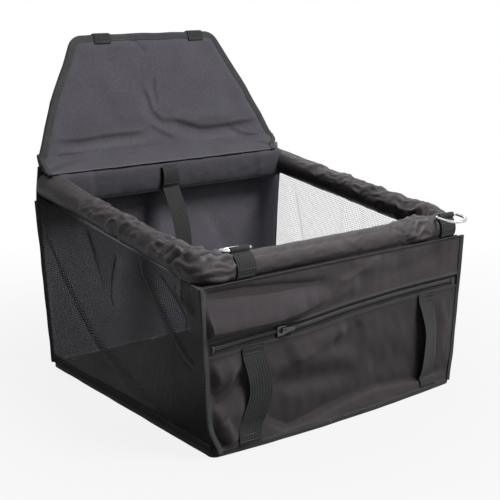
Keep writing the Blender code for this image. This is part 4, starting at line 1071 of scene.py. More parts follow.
RIM_FOLDS = [
    # place along the sleeve, turn of its middle, reach round, slant, step height, soft width, sharp width
    (0.108, 1.15, 1.35, 0.011, -0.0022, 0.0170, 0.0022),
    (0.131, 1.60, 0.70, -0.008, -0.0011, 0.0070, 0.0022),
    (0.152, 1.30, 0.80, 0.010, -0.0014, 0.0075, 0.0022),
    (0.174, 1.00, 0.90, 0.012, -0.0018, 0.0090, 0.0022),
    (0.196, 0.90, 1.30, 0.009, -0.0034, 0.0110, 0.0026),
    (0.212, 1.80, 0.60, -0.010, -0.0011, 0.0060, 0.0025),
    (0.262, 0.70, 0.80, 0.016, -0.0016, 0.0130, 0.0030),
    (0.284, 1.10, 1.00, 0.012, -0.0026, 0.0100, 0.0024),
    (0.301, 0.90, 1.00, 0.012, -0.0022, 0.0085, 0.0022),
    (0.316, 1.50, 0.90, -0.010, -0.0018, 0.0060, 0.0020),
    (0.334, 1.00, 0.90, 0.008, -0.0014, 0.0070, 0.0024),
    (0.352, 1.70, 0.70, -0.010, -0.0012, 0.0070, 0.0024),
    (0.440, 1.50, 0.80, 0.012, -0.0010, 0.0150, 0.0040),
    (0.520, 1.10, 0.80, -0.012, -0.0009, 0.0150, 0.0040),
    (0.600, 1.30, 0.90, 0.010, -0.0012, 0.0120, 0.0035),
    (0.668, 1.20, 1.10, 0.005, -0.0026, 0.0080, 0.0026),
    (0.690, 1.30, 1.10, -0.008, -0.0022, 0.0090, 0.0026),
    (0.716, 1.60, 1.00, 0.010, -0.0022, 0.0110, 0.0026),
    (0.760, 1.90, 1.10, -0.010, -0.0020, 0.0130, 0.0028),
    (0.812, 1.70, 1.00, 0.012, -0.0020, 0.0140, 0.0028),
    (0.862, 1.80, 1.00, -0.010, -0.0016, 0.0150, 0.0030),
    (0.925, 1.50, 1.00, 0.008, -0.0012, 0.0180, 0.0035),
]


def rim_folds(run, turn):
    """Cross folds of the sleeve: each falls off sharply on its rear side and runs out softly to the front."""
    relief = np.zeros(np.broadcast(run, turn).shape)
    for place, centre, reach, slant, height, soft, sharp in RIM_FOLDS:
        away = turned(turn - centre)
        offset = run - place - slant * away - 0.004 * away ** 2
        lip = 0.45 * hump(offset - 0.0065, 0.0052)
        relief += 1.6 * height * hump(away, reach) * (hump(offset, np.where(offset < 0, soft, sharp)) - lip)
    return relief


def rim_crumple(run, turn):
    """Small sharp-crested crumples where the sleeve is gathered."""
    gathered = np.interp(run, *np.array(SLEEVE_SLACK).T)
    bend = turn * 0.016
    along = run + 0.006 * ripples(run, bend, 701, 0.03)
    round_it = bend + 0.006 * ripples(run, bend, 702, 0.03)
    twist, across = along + 0.8 * round_it, round_it - 0.5 * along
    crest = 1 - np.abs(ripples(twist * 0.55, across * 1.2, 703, 0.026, 5)) * 2.6
    fine = 1 - np.abs(ripples(twist * 0.6, across * 1.2, 704, 0.015, 5)) * 2.6
    top = 0.35 + 0.65 * hump(turned(turn - 1.2), 1.5, 4)
    return gathered * top * (0.0026 * np.clip(crest, -0.7, 1) + 0.0016 * np.clip(fine, -0.7, 1))


def rim_lift(run):
    """How far the sleeve's middle lies above the pipe: it bunches up at the front corners."""
    places = [0, 0.03, 0.10, 0.20, 0.26, 0.30, 0.335, 0.375, 0.43, 0.50, 0.58, 0.63, 0.665, 0.70, 0.76, 1.01]
    lifts = [3.0, 1.5, -0.5, 0.0, 1.0, 3.0, 4.0, 0.5, -1.5, -1.0, -1.0, 1.0, 4.0, 3.0, 1.0, -0.5]
    return np.interp(run, places, lifts) / 1000


def rim_radius(run):
    """The sleeve's radius along its run."""
    places = [0, 0.05, 0.10, 0.20, 0.27, 0.335, 0.375, 0.45, 0.60, 0.64, 0.675, 0.72, 0.80, 1.01]
    radii = [17.0, 16.2, 15.0, 14.6, 15.0, 16.6, 15.6, 14.8, 14.8, 15.4, 16.8, 15.8, 15.2, 16.2]
    return np.interp(run, places, radii) / 1000


# How gathered the sleeve is, by the run along it
SLEEVE_SLACK = [(0.0, 0.0), (0.06, 0.1), (0.105, 0.25), (0.125, 0.75), (0.20, 0.9), (0.215, 0.35), (0.255, 0.3),
                (0.285, 1.0), (0.36, 1.0), (0.40, 0.25), (0.60, 0.25), (0.645, 1.0), (0.72, 0.9), (0.78, 0.6),
                (0.90, 0.5), (0.97, 0.1), (1.02, 0.0)]


def tab_hold(run, path):
    """Near 1 where a ring tab's webbing holds the sleeve down."""
    hold = np.zeros(run.shape)
    for x, reach in ((-0.139, 0.0135), (0.166, 0.0225)):
        on_front = np.abs(path[:, 1] + RIM_V) < 0.008
        middle = run[:, 0][np.argmin(np.abs(path[:, 0] - x) + np.where(on_front, 0, 1))]
        hold = hold + hump(run - middle, reach, 6)
    return np.clip(hold, 0, 1)


def on_rim_plane(pairs):
    """Vectors from steps across and along the rim's sloping plane."""
    return points_at(pairs[:, 0], pairs[:, 1] * RIM_ALONG[1], pairs[:, 1] * RIM_ALONG[2])


def rim_surface():
    """Rings of points over the padded rim."""
    path = rim_path()
    tangent = unit(np.gradient(path, axis=0))
    outward = np.stack([tangent[:, 1], -tangent[:, 0]], axis=1)
    run = run_along(path)[:, None]
    turn = np.linspace(0, 2 * pi, SLEEVE_SIDES, endpoint=False)[None, :]
    radius = rim_radius(run) + 0.0005 * ripples(run, turn * 0.015, 72, 0.06)
    radius = radius + rim_folds(run, turn) + rim_crumple(run, turn)
    radius = radius - 0.0008 * hump(turned(turn + 0.55 * pi), 0.5)
    radius = radius + rim_lift(run) * (0.5 + 0.5 * np.sin(turn))
    corner = np.minimum(np.abs(run - CORNER_RUNS[0]), np.abs(run - CORNER_RUNS[1]))
    least = 0.0140 + 0.0016 * smooth((0.045 - corner) / 0.012)
    radius = least + SLEEVE_EASE * np.logaddexp(0, (radius - least) / SLEEVE_EASE)
    hold = tab_hold(run, path)
    radius = radius * (1 - hold) + HELD_RADIUS * hold
    side, centre = on_rim_plane(outward), RIM_CENTRE + on_rim_plane(path)
    return (centre[:, None] + (radius * np.cos(turn))[..., None] * side[:, None]
            + (radius * 1.03 * np.sin(turn))[..., None] * RIM_UP)


class SEAT_OT_rim(SeatPart):
    """Padded sleeve round the front and sides, over the pipes."""

    bl_idname = "seat.rim"
    bl_label = "Padded rim"

    def execute(self, context):
        sleeve = make_tube("rim_sleeve", rim_surface(), "sleeve_cloth", 180)
        subdivide(sleeve)
        seat_piece(sleeve, "root", "sleeve_cloth", "front_sleeve", "left_sleeve", "right_sleeve", "front_foam",
                   "left_foam", "right_foam")
        dress_nodes("pipe", "front_pipe", "rear_pipe", "left_pipe", "right_pipe", "front_left_elbow",
                    "front_right_elbow", "rear_left_elbow", "rear_right_elbow")
        return {"FINISHED"}


# Side nets

def pipe_height(y):
    """Height of the side pipes' middle."""
    return (FRONT_RIM_Z + BACK_RIM_Z) / 2 + y * tan(RIM_TILT)


LEFT_NET_CREASES = [
    ([(0.178, 0.206), (0.152, 0.157), (0.115, 0.112), (0.077, 0.074), (0.037, 0.055), (-0.020, 0.036),
      (-0.080, 0.016)], 0.0062, 0.0090, 0.0042),
    ([(0.172, 0.185), (0.144, 0.135), (0.105, 0.088), (0.060, 0.052), (0.020, 0.036)], -0.0062, 0.010, 0.007),
    ([(-0.055, 0.205), (-0.083, 0.163), (-0.111, 0.130), (-0.137, 0.109), (-0.165, 0.092)], 0.0060, 0.0090, 0.0045),
    ([(-0.085, 0.185), (-0.113, 0.162), (-0.140, 0.136)], -0.0062, 0.0080, 0.0070),
    ([(-0.125, 0.183), (-0.142, 0.170), (-0.162, 0.155)], 0.0044, 0.0050, 0.0060),
    ([(-0.013, 0.195), (0.011, 0.154), (0.021, 0.118)], 0.0034, 0.0060, 0.0075),
    ([(0.070, 0.215), (0.060, 0.170), (0.045, 0.130)], -0.0030, 0.014, 0.010),
    ([(-0.165, 0.056), (-0.130, 0.032), (-0.095, 0.012)], 0.0034, 0.006, 0.008),
]

RIGHT_NET_CREASES = [
    ([(0.152, 0.215), (0.130, 0.160), (0.110, 0.110), (0.090, 0.040)], 0.0036, 0.008, 0.006),
    ([(0.030, 0.210), (0.025, 0.158), (0.035, 0.110)], -0.0026, 0.007, 0.006),
    ([(0.006, 0.205), (-0.007, 0.165), (-0.015, 0.120)], 0.0026, 0.006, 0.007),
    ([(-0.060, 0.195), (-0.100, 0.120), (-0.150, 0.070)], 0.0030, 0.009, 0.007),
]


def net_relief(y, z, creases, seed):
    """How far a net hangs in from its flat side: slack in the middle, with drawn folds."""
    height = pipe_height(y) - 0.012
    share_z, share_y = (z - WALL_FOOT) / (height - WALL_FOOT), (y + 0.179) / 0.3605
    slack = 0.0075 * np.sin(pi * np.clip(share_z, 0, 1)) * np.sin(pi * np.clip(share_y, 0, 1)) ** 0.8
    relief = slack + 0.0008 * ripples(y, z, seed, 0.09)
    for row in creases:
        relief = relief - crease(y, z, *row)
    return relief * smooth(share_y / 0.06) * smooth((1 - share_y) / 0.06) * smooth(share_z / 0.10)


def net_points(y, z, side, creases, seed, off=0.0):
    """Points of a net, or this far outside it."""
    x = side * (SIDE_FOOT + z * SIDE_SLOPE - 0.0006 - net_relief(y, z, creases, seed) + off)
    return np.stack([x, y, z], axis=-1)


def net_top(y):
    """Height of a net's upper edge, inside the sleeve."""
    return pipe_height(y) - 0.0125


NETS = [
    # side's name and sign, creases, seed of the waves, how much wider the strands are, and the share they cover
    ("left", -1, LEFT_NET_CREASES, 81, 2.25, 0.60),
    ("right", 1, RIGHT_NET_CREASES, 91, 1.0, 0.31),
]
# strands past this doubling wear the net's finish with the painted highlight
DOUBLE_FROM = 1.30  # where the doubled net's finish starts


def net_doubling(y, z, side, creases):
    """How many times wider the strands show where the net lies double in a fold."""
    double = np.ones_like(y) + sum(1.7 * crease(y, z, line, 1.0, 0.0042, 0.0042, 0.12)
                                   for line, depth, _, _ in creases if depth > 0.005)
    # the left net's front corner is drawn doubled too, so it also gets the painted highlight
    if side < 0:
        double = double + 1.7 * smooth((-0.138 - y) / 0.014) * smooth((z - 0.128) / 0.02)
    return double


def make_net(name, side, creases, seed, wider, covered):
    """A net of knitted strands with open square meshes, as one piece."""
    pitch, half = sizes().net_pitch, sizes().net_strand / 2 * wider
    low_y, high_y = FRONT_FACE + 0.0004, BACK_FACE + 0.0010
    columns = int(round((high_y - low_y) / pitch))
    rows = int(round((net_top(0) - WALL_FOOT) / pitch))
    y, share = np.meshgrid(np.linspace(low_y, high_y, columns + 1), np.linspace(0, 1, rows + 1), indexing="ij")

    def place(y, share, off):
        z = WALL_FOOT + share * (net_top(y) - WALL_FOOT)
        return net_points(y, z, side, creases, seed, off)

    skin = Skin()
    outer = skin.add_points(place(y, share, half))
    inner = skin.add_points(place(y, share, -half))
    step_y, step_s = (high_y - low_y) / columns, 1 / rows
    height = WALL_FOOT + share * (net_top(y) - WALL_FOOT)
    double = net_doubling(y, height, side, creases)
    cover = half * double

    def cell(grid, a, b):
        return grid[a:columns + a, b:rows + b]

    corners = {}
    for a in (0, 1):
        for b in (0, 1):
            trim = cell(cover, a, b) / pitch
            cell_y = cell(y, a, b) + trim * (step_y if a == 0 else -step_y)
            cell_s = cell(share, a, b) + trim * (step_s if b == 0 else -step_s)
            corners[a, b] = skin.add_points(place(cell_y, cell_s, 0.0))
    uv = np.stack([y, height], axis=-1)
    for ids in (outer, inner):
        for first, second in (((0, 0), (1, 0)), ((1, 0), (1, 1)), ((1, 1), (0, 1)), ((0, 1), (0, 0))):
            faces = [cell(ids, *first), cell(ids, *second), corners[second], corners[first]]
            skin.add_quads(np.stack(faces, axis=-1), np.stack([cell(uv, *first), cell(uv, *second)] * 2, axis=-2))
    skin.add_strip(rim_of(outer), rim_of(inner), rim_of(uv))
    net = skin.piece(name + "_net_mesh", "net", 180)
    # the second finish, with the painted highlight, goes on doubled strands
    net.data.materials.append(FINISHES["net_fold_painted_highlight"])
    marks = np.zeros(len(net.data.polygons), dtype=np.int32)
    marks[:8 * columns * rows] = np.tile((double[:-1, :-1] > DOUBLE_FROM).ravel(), 8)
    net.data.polygons.foreach_set("material_index", marks)
    seat_piece(net, "root", "net", name + "_net")


def make_net_hem(name, side, creases, seed):
    """The band of doubled cloth along the foot of a net. Gives back the row for its stitches."""
    ys = np.linspace(FRONT_FACE + 0.002, BACK_FACE - 0.001, 150)
    tops = 0.0165 + 0.0012 * ripples(ys, 0, seed + 5, 0.07)
    share = np.linspace(0, 1, 7)
    y = np.repeat(ys[:, None], len(share), axis=1)
    z = WALL_FOOT - 0.002 + share[None, :] * (tops[:, None] - WALL_FOOT + 0.002)
    points = net_points(y, z, side, creases, seed, 0.0011)
    if side < 0:
        points, y, z = points[:, ::-1], y[:, ::-1], z[:, ::-1]
    hem = make_cloth(name + "_net_hem", points, 0.0022, "lining", np.stack([y, z], axis=-1))
    seat_piece(hem, "root", "lining")
    return net_points(ys, tops - 0.0022, side, creases, seed, 0.0013), (side, 0, 0)


class SEAT_OT_nets(SeatPart):
    """Nets of both sides, slack and drawn into folds, with the hems at their feet."""

    bl_idname = "seat.nets"
    bl_label = "Side nets"

    def execute(self, context):
        for net in NETS:
            make_net(*net)
        rows = [make_net_hem(*net[:4]) for net in NETS]
        sew("net_hem_stitches", rows, "root", "binding")
        return {"FINISHED"}


# Front wall

def zip_drift(x):
    """How far the zip wanders from its straight line, nothing at the slider and at the ends of its run."""
    places = [-0.192, -0.173, -0.140, -0.115, -0.0915, -0.065, -0.030, 0.0, 0.040, 0.085, 0.130, 0.171, 0.192]
    drifts = [0.9, 0.0, 0.8, 0.6, 0.0, -2.2, -0.6, 1.2, 1.8, 2.2, 1.4, 0.0, -0.6]
    grid = np.linspace(-0.192, 0.192, 193)
    line = np.interp(grid, places, drifts)
    for _ in range(20):
        line[1:-1] = (line[:-2] + 2 * line[1:-1] + line[2:]) / 4
    return np.interp(x, grid, line) / 1000


def zip_line(x):
    """Height of the zip's line."""
    return ZIP_HEIGHT + x * ZIP_SLOPE + zip_drift(x)


FRONT_CREASES = [
    # the pocket's slumps and the folds at its foot
    ([(-0.250, 0.090), (-0.190, 0.092), (-0.145, 0.098)], 0.0092, 0.014, 0.017),
    ([(-0.225, 0.066), (-0.172, 0.066), (-0.136, 0.090)], -0.0070, 0.013, 0.010),
    ([(-0.225, 0.044), (-0.170, 0.044), (-0.136, 0.050)], 0.0050, 0.012, 0.012),
    ([(-0.130, 0.086), (-0.070, 0.084), (-0.010, 0.078), (0.030, 0.070)], 0.0044, 0.012, 0.020),
    ([(-0.122, 0.070), (-0.070, 0.064), (-0.017, 0.058), (0.030, 0.054)], -0.0046, 0.014, 0.012),
    ([(-0.100, 0.052), (-0.060, 0.046), (0.000, 0.044)], 0.0024, 0.012, 0.012),
    ([(-0.128, 0.036), (-0.100, 0.018), (-0.081, 0.0075), (-0.049, 0.0125), (0.000, 0.0210), (0.051, 0.026),
      (0.131, 0.0190), (0.200, 0.021)], -0.0030, 0.014, 0.0030),
    ([(-0.085, 0.088), (-0.050, 0.096), (-0.022, 0.105), (0.010, 0.112)], 0.0064, 0.015, 0.008),
    ([(-0.020, 0.088), (0.006, 0.098), (0.030, 0.115)], -0.0020, 0.010, 0.010),
    ([(0.020, 0.095), (0.060, 0.085), (0.110, 0.090)], 0.0018, 0.016, 0.016),
    ([(0.040, 0.050), (0.080, 0.054), (0.120, 0.045)], -0.0020, 0.016, 0.014),
    ([(0.160, 0.125), (0.170, 0.085), (0.166, 0.035)], 0.0018, 0.008, 0.012),
    ([(-0.196, 0.040), (-0.182, 0.024), (-0.168, 0.008)], -0.0060, 0.005, 0.008),
    ([(-0.176, 0.044), (-0.166, 0.028), (-0.158, 0.012)], 0.0050, 0.006, 0.010),
]


# Height of the fold at the pocket's foot, by x
FOOT_FOLD = [(-0.200, 0.034), (-0.150, 0.036), (-0.122, 0.036), (-0.100, 0.020), (-0.081, 0.0085), (-0.060, 0.0115),
             (-0.030, 0.0165), (0.000, 0.0210), (0.051, 0.0250), (0.100, 0.0205), (0.131, 0.0180), (0.200, 0.0200)]


FOOT_BOW = 0.0085
FOOT_HALF = 0.186


def foot_bow(x):
    """How far the front's foot bows out between the corners."""
    return FOOT_BOW * np.cos(np.clip(np.abs(x) / FOOT_HALF, 0, 1) * pi / 2) ** 0.8


def front_relief(x, z):
    """How far the pocket's cloth stands out from the front's plane."""
    top = zip_line(x) - 0.0065
    share = np.clip((z - WALL_FOOT) / (top - WALL_FOOT), 0, 1)
    waves = 0.0016 * np.sin(pi * share) + 0.0008 * ripples(x, z, 101, 0.055) + 0.0004 * ripples(x, z, 102, 0.022)
    relief = creased(waves, x, z, FRONT_CREASES)
    lip = 0.0009 * hump(top - z, 0.0035)
    border = smooth((front_half_width(z) - np.abs(x)) / 0.010)
    fold = np.interp(x, *np.array(FOOT_FOLD).T)
    flare = (0.0030 + 1.05 * foot_bow(x)) * np.clip((fold + 0.004 - z) / (fold + 0.004), 0, 1)
    held = relief * (0.35 + 0.65 * smooth((1 - share) / 0.12)) * smooth(share / 0.03)
    return np.maximum(held, -0.0030) * border + flare * np.minimum(border * 1.2, 1) + lip


def front_half_width(z):
    """Half the front wall's width at this height."""
    return SIDE_FOOT + z * SIDE_SLOPE - 0.0012


UPPER_TOP = 0.1925
UPPER_CREASES = [
    ([(-0.205, 0.183), (-0.150, 0.180), (-0.090, 0.174), (-0.019, 0.168)], -0.0044, 0.0060, 0.010),
    ([(-0.290, 0.146), (-0.150, 0.142), (-0.099, 0.1415), (-0.060, 0.146), (-0.028, 0.152)], 0.0094, 0.019, 0.0065),
    ([(-0.060, 0.152), (-0.020, 0.152), (0.030, 0.160)], 0.0030, 0.014, 0.008),
    ([(-0.040, 0.176), (-0.022, 0.162), (-0.012, 0.146)], -0.0016, 0.009, 0.009),
    ([(0.010, 0.186), (0.040, 0.176), (0.090, 0.176)], 0.0014, 0.008, 0.010),
    ([(-0.010, 0.165), (0.030, 0.176), (0.060, 0.190)], 0.0020, 0.004, 0.006),
    ([(0.060, 0.158), (0.110, 0.166), (0.165, 0.180)], -0.0018, 0.008, 0.010),
]


def upper_relief(x, z):
    """How far the panel over the zip stands out from the front's plane."""
    waves = 0.0006 * ripples(x, z, 111, 0.05) + 0.0003 * ripples(x, z, 112, 0.02)
    relief = creased(waves, x, z, UPPER_CREASES)
    low = zip_line(x) + 0.0065
    lip = 0.0010 * hump(z - low, 0.0035)
    border = smooth((front_half_width(z) - np.abs(x)) / 0.005) * smooth((z - low) / 0.008)
    welt = 0.0014 * hump(UPPER_TOP - 0.0008 - z, 0.0016)
    return np.maximum(relief, -0.0026) * border * smooth((UPPER_TOP - 0.002 - z) / 0.006) + lip + welt


def front_grid(low, high, rows, relief):
    """A grid over the front between two heights that depend on x, as points and cloth coordinates."""
    share, across = row_grid(0, 1, rows, 230)
    guess = across * front_half_width(0.13)
    z = low(guess) + share * (high(guess) - low(guess))
    x = across * front_half_width(z)
    z = low(x) + share * (high(x) - low(x))
    return points_at(x, FRONT_FACE - relief(x, z), z)[:, ::-1], np.stack([x, z], axis=-1)[:, ::-1]


ZIP_CLEAR = 0.0070  # from the zip's line to the cloth above and below it


class SEAT_OT_front(SeatPart):
    """Upper panel, zipped pocket and inner lining of the front."""

    bl_idname = "seat.front"
    bl_label = "Front wall"

    def execute(self, context):
        cloth = sizes().cloth
        points, uv = front_grid(lambda x: 0 * x + WALL_FOOT - 0.001, lambda x: zip_line(x) - ZIP_CLEAR, 96,
                                front_relief)
        # the pocket's cloth carries painted shade
        pocket = make_cloth("pocket_cloth", points, cloth, "pocket_cloth", uv)
        seat_piece(pocket, "root", "front_cloth", "pocket_face")
        points, uv = front_grid(lambda x: zip_line(x) + ZIP_CLEAR, lambda x: 0 * x + UPPER_TOP, 84, upper_relief)
        upper = make_cloth("front_upper_cloth", points, cloth, "front_cloth", uv)
        seat_piece(upper, "root", "front_cloth", "front_upper_panel")
        make_front_lining()
        return {"FINISHED"}


LINING_FOOT_HALF = 0.1805
LINING_TOP_HALF = 0.1936


def make_front_lining():
    """The inner lining, which hangs slack from the front pipe."""
    low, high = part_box("front_lining")
    share, across = row_grid(0, 1, 70, 150)
    z = low.z + share * (high.z - low.z)
    x = across * (LINING_FOOT_HALF + (LINING_TOP_HALF - LINING_FOOT_HALF) * share)
    slack = 0.0040 * np.sin(pi * share) * np.cos(across * pi / 2) ** 0.6
    relief = slack + (0.0007 * ripples(x, z, 121, 0.06)) * smooth(share / 0.1) * smooth((1 - share) / 0.1)
    points = points_at(x, high.y + np.maximum(relief, -0.0004), z)
    lining = make_cloth("front_lining_cloth", points, 0.0010, "lining", np.stack([x, z], axis=-1))
    seat_piece(lining, "root", "lining", "front_lining")


# Base

class SEAT_OT_base(SeatPart):
    """Bound edge, under cloth and inner floor of the base."""

    bl_idname = "seat.base"
    bl_label = "Base"

    def execute(self, context):
        make_base_binding()
        make_base_cloths()
        dress_nodes("board", "base_board")
        return {"FINISHED"}


BASE_ROUND = 0.0075


def base_outline():
    """The base's rounded outline, closed, its front edge bowed out."""
    low, high = BASE_LOW, BASE_HIGH
    corners = [(low.x, low.y), (high.x, low.y), (high.x, high.y), (low.x, high.y)]
    path = []
    for i, corner in enumerate(corners):
        path += fillet(corners[i - 1], corner, corners[(i + 1) % 4], BASE_ROUND, 8)
    line = resample(path + [path[0]], PATH_STEP)[:-1]
    line[:, 1] -= foot_bow(line[:, 0]) * smooth((low.y + 0.010 - line[:, 1]) / 0.004)
    return line


BASE_TAPE_PROFILE = [(0.0, 0.0004), (-0.0004, 0.0022), (-0.0002, 0.0056), (0.0008, 0.0072), (0.0030, 0.0074),
                     (0.0046, 0.0066), (0.0048, 0.0030), (0.0044, 0.0002), (0.0020, 0.0)]


def make_base_binding():
    """The tape round the base's edge, and its stitches."""
    outline = base_outline()
    inward = side_steps(outline, closed=True)
    profile = np.array(BASE_TAPE_PROFILE)
    run = np.arange(len(outline)) * PATH_STEP
    wave = 0.00045 * ripples(run, 0, 131, 0.05)
    rise = 1 + 0.10 * ripples(run, 0, 132, 0.035)
    places = outline[:, None] + inward[:, None] * (profile[None, :, :1] + wave[:, None, None])
    skin = Skin()
    skin.add_loop(points_at(places[..., 0], places[..., 1], profile[None, :, 1] * rise[:, None]))
    # the base's tape carries painted shade
    binding = skin.piece("base_binding_tape", "base_binding")
    seat_piece(binding, "root", "binding", "base_binding")
    outline, inward = np.concatenate([outline, outline[:1]]), np.concatenate([inward, inward[:1]])
    seam = outline - 0.00045 * inward
    row = points_at(seam[:, 0], seam[:, 1], 0.0058), points_at(-inward[:, 0], -inward[:, 1], 0)
    sew("base_binding_stitches", [row], "root", "binding")


def make_base_cloths():
    """The cloth under the board and the liner over it."""
    for name, node, finish, seed, bow in (("base_under_cloth", "base_cloth", "front_cloth", 141, 0.9),
                                          ("base_liner_cloth", "base_liner", "lining", 142, 0.5)):
        low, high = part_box(node)
        xs, ys = np.linspace(low.x, high.x, 90), np.linspace(low.y, high.y, 90)
        x, y = np.meshgrid(xs, ys, indexing="ij")
        edge = np.minimum(np.minimum(x - xs[0], xs[-1] - x), np.minimum(y - ys[0], ys[-1] - y))
        y = y - bow * foot_bow(x) * np.clip((-0.140 - y) / 0.040, 0, 1)
        if node == "base_liner":
            wave = 0.0007 * np.abs(ripples(x, y, seed, 0.07)) * smooth(edge / 0.03)
            points = points_at(x, y, high.z + wave)
        else:
            points = points_at(x, y, low.z)[:, ::-1]
        item = make_cloth(name, points, min(high.z - low.z, 0.0012), finish)
        seat_piece(item, "root", finish, node)


# Bound corners

CORNERS = [
    # name, side, front, seed of its waves, reach of the seam, and how far its foot is swung in
    ("front_left", -1, True, 151, 0.0070, 0.0095),
    ("front_right", 1, True, 152, 0.0052, 0.0062),
    ("rear_left", -1, False, 153, 0.0056, 0.0),
    ("rear_right", 1, False, 154, 0.0056, 0.0),
]
CORNER_TAPE_PROFILE = [(0.04, -1.0), (0.55, -1.12), (0.90, -0.95), (1.0, -0.35), (1.0, 0.35), (0.90, 0.95),
                       (0.55, 1.12), (0.04, 1.0)]


def make_corner_tape(name, side, front, seed, reach, swing, rows):
    """A folded tape over the seam allowance that stands out from one upright corner."""
    corner_y, out_y, top, lean = ((FRONT_FACE, -1, FRONT_RIM_Z - 0.0105, radians(14)) if front else
                                  (BACK_FACE + 0.0012, 1, BACK_RIM_Z - 0.0165, radians(52)))
    z = np.arange(WALL_FOOT - 0.0015, top, 0.002)
    reach = reach + 0.0005 * ripples(z, 0, seed, 0.05)
    half = 0.0013 * (1 + 0.15 * ripples(z, 0, seed + 10, 0.03))
    sway = 0.0011 * ripples(z, 0, seed + 20, 0.11) * smooth((z - WALL_FOOT) / 0.02)
    profile = np.array(CORNER_TAPE_PROFILE)
    swing = swing * smooth((0.042 - z) / 0.042)
    out = reach[:, None] * profile[None, :, 0] - 0.0010
    across = half[:, None] * profile[None, :, 1] + sway[:, None] * profile[None, :, 0]
    rings = points_at(side * (SIDE_FOOT - 0.0006 - swing[:, None] + z[:, None] * SIDE_SLOPE + out * cos(lean)
                              + across * sin(lean)),
                      corner_y + out_y * (out * sin(lean) - across * cos(lean) + 0.5 * swing[:, None]), z[:, None])
    tape = make_tube("corner_tape_" + name, rings, "binding")
    seat_piece(tape, "root", "binding", name + "_seam")
    for outer, inner, sign in ((1, 2, -1), (6, 5, 1)):
        away = np.array([side * sin(lean) * sign, -out_y * cos(lean) * sign, 0])
        rows.append((rings[:, outer] * 0.25 + rings[:, inner] * 0.75 + away * 0.0001, away))


class SEAT_OT_corners(SeatPart):
    """Tapes over the four upright corner seams, with their stitching."""

    bl_idname = "seat.corners"
    bl_label = "Bound corners"

    def execute(self, context):
        rows = []
        for corner in CORNERS:
            make_corner_tape(*corner, rows)
        sew("corner_stitches", rows, "root", "binding")
        return {"FINISHED"}


# Zip

def zip_offset(x, rise, out):
    """Points by the zip's line: this far above it, and this far out from the front's plane."""
    x, rise, out = np.broadcast_arrays(x, rise, out)
    return np.stack([x, FRONT_FACE - out, zip_line(x) + rise], axis=-1)


ZIP_TAPE_END = 0.1925
ZIP_CORD_END = 0.1815
STITCH_END = 0.188


def make_zip_tape(name, node, side):
    """The tape above or below the zip's line."""
    xs = np.linspace(-ZIP_TAPE_END, ZIP_TAPE_END, 240)
    x, rise = np.meshgrid(xs, np.linspace(0.0006, 0.0125, 9) * side, indexing="ij")
    rise[:, 0] -= side * 0.0014 * smooth((np.abs(xs) - ZIP_CORD_END) / 0.003)
    points = zip_offset(x, rise, -0.0016 + 0.0002 * ripples(x, rise, 161 + side, 0.03))
    if side > 0:
        points = points[:, ::-1]
    tape = make_cloth(name, points[::-1], 0.0006, "zip_tape")
    seat_piece(tape, "root", "zip", node)


COIL_PITCH = 0.0015
COIL_END = 0.1805
COIL_SIDES = 7
SLIDER_REACH = 0.0045
COIL_TURN = [
    # one turn in millimetres: above the zip's line, out from the front, radius
    (2.35, -0.55, 0.26), (1.9, 0.10, 0.34), (0.9, 0.30, 0.36), (-0.05, 0.22, 0.40), (-0.55, 0.02, 0.46),
    (-0.75, -0.45, 0.24),
]


def make_zip_coil(name, node, side):
    """Half of the zip's chain: rounded coil turns on a cord, which mesh with the other half's."""
    rise, out, swell = np.array(COIL_TURN).T * 0.001
    rise = rise * side
    skin = Skin()
    for x in np.arange(-COIL_END, COIL_END, COIL_PITCH) + (COIL_PITCH / 2 if side < 0 else 0):
        if abs(x - SLIDER_X) >= SLIDER_REACH:
            skin.add_tube(round_rings(zip_offset(x, rise, out), (1, 0, 0), swell, COIL_SIDES))
    xs = np.linspace(-ZIP_CORD_END, ZIP_CORD_END, 240)
    skin.add_tube(round_rings(zip_offset(xs, 0.0019 * side, -0.0006), (0, 0, 1), 0.00055, COIL_SIDES))
    seat_piece(skin.piece(name, "zip", 70), "root", "zip", node)


def make_zip_stops():
    """The bent metal clips that end the chain."""
    corner = np.linspace(0, 2 * pi, 16, endpoint=False)
    section = np.stack([np.sign(np.cos(corner)) * np.abs(np.cos(corner)) ** 0.4 * 0.0013,
                        np.sign(np.sin(corner)) * np.abs(np.sin(corner)) ** 0.6 * 0.00042], axis=1)
    for name, side in (("left", -1), ("right", 1)):
        x = side * 0.1832
        bend = rounded([(x, -0.0031, -0.0004), (x, -0.0029, 0.0008), (x, 0.0, 0.0011), (x, 0.0029, 0.0008),
                        (x, 0.0031, -0.0004)], 0.0003, 6)
        rings = section_rings(zip_offset(*bend.T), (1, 0, 0), section)
        seat_piece(make_tube("zip_stop_clip_" + name, rings, "zip"), "root", "nickel", "zip_stop_" + name)


class SEAT_OT_zip(SeatPart):
    """Tapes, meshed coils, end clips and stitching of the pocket's zip."""

    bl_idname = "seat.zip"
    bl_label = "Zip"

    def execute(self, context):
        make_zip_tape("zip_tape_upper_cloth", "zip_tape_upper", 1)
        make_zip_tape("zip_tape_lower_cloth", "zip_tape_lower", -1)
        make_zip_coil("zip_coil_upper", "zip_teeth_upper", 1)
        make_zip_coil("zip_coil_lower", "zip_teeth_lower", -1)
        make_zip_stops()
        dress_nodes("nickel", "zip_slider", "zip_slider_back", "zip_pull")
        xs = np.linspace(-STITCH_END, STITCH_END, 200)
        rows = [(zip_offset(xs, rise, -0.0012), (0, -1, 0)) for rise in (0.0046, -0.0046)]
        for rise, relief in ((0.0092, upper_relief), (-0.0092, front_relief)):
            z = zip_line(xs) + rise
            rows.append((points_at(xs, FRONT_FACE - relief(xs, z) - 0.0001, z), (0, -1, 0)))
        sew("zip_stitches", rows, "root", "front_cloth")
        return {"FINISHED"}


# Webbing on the front

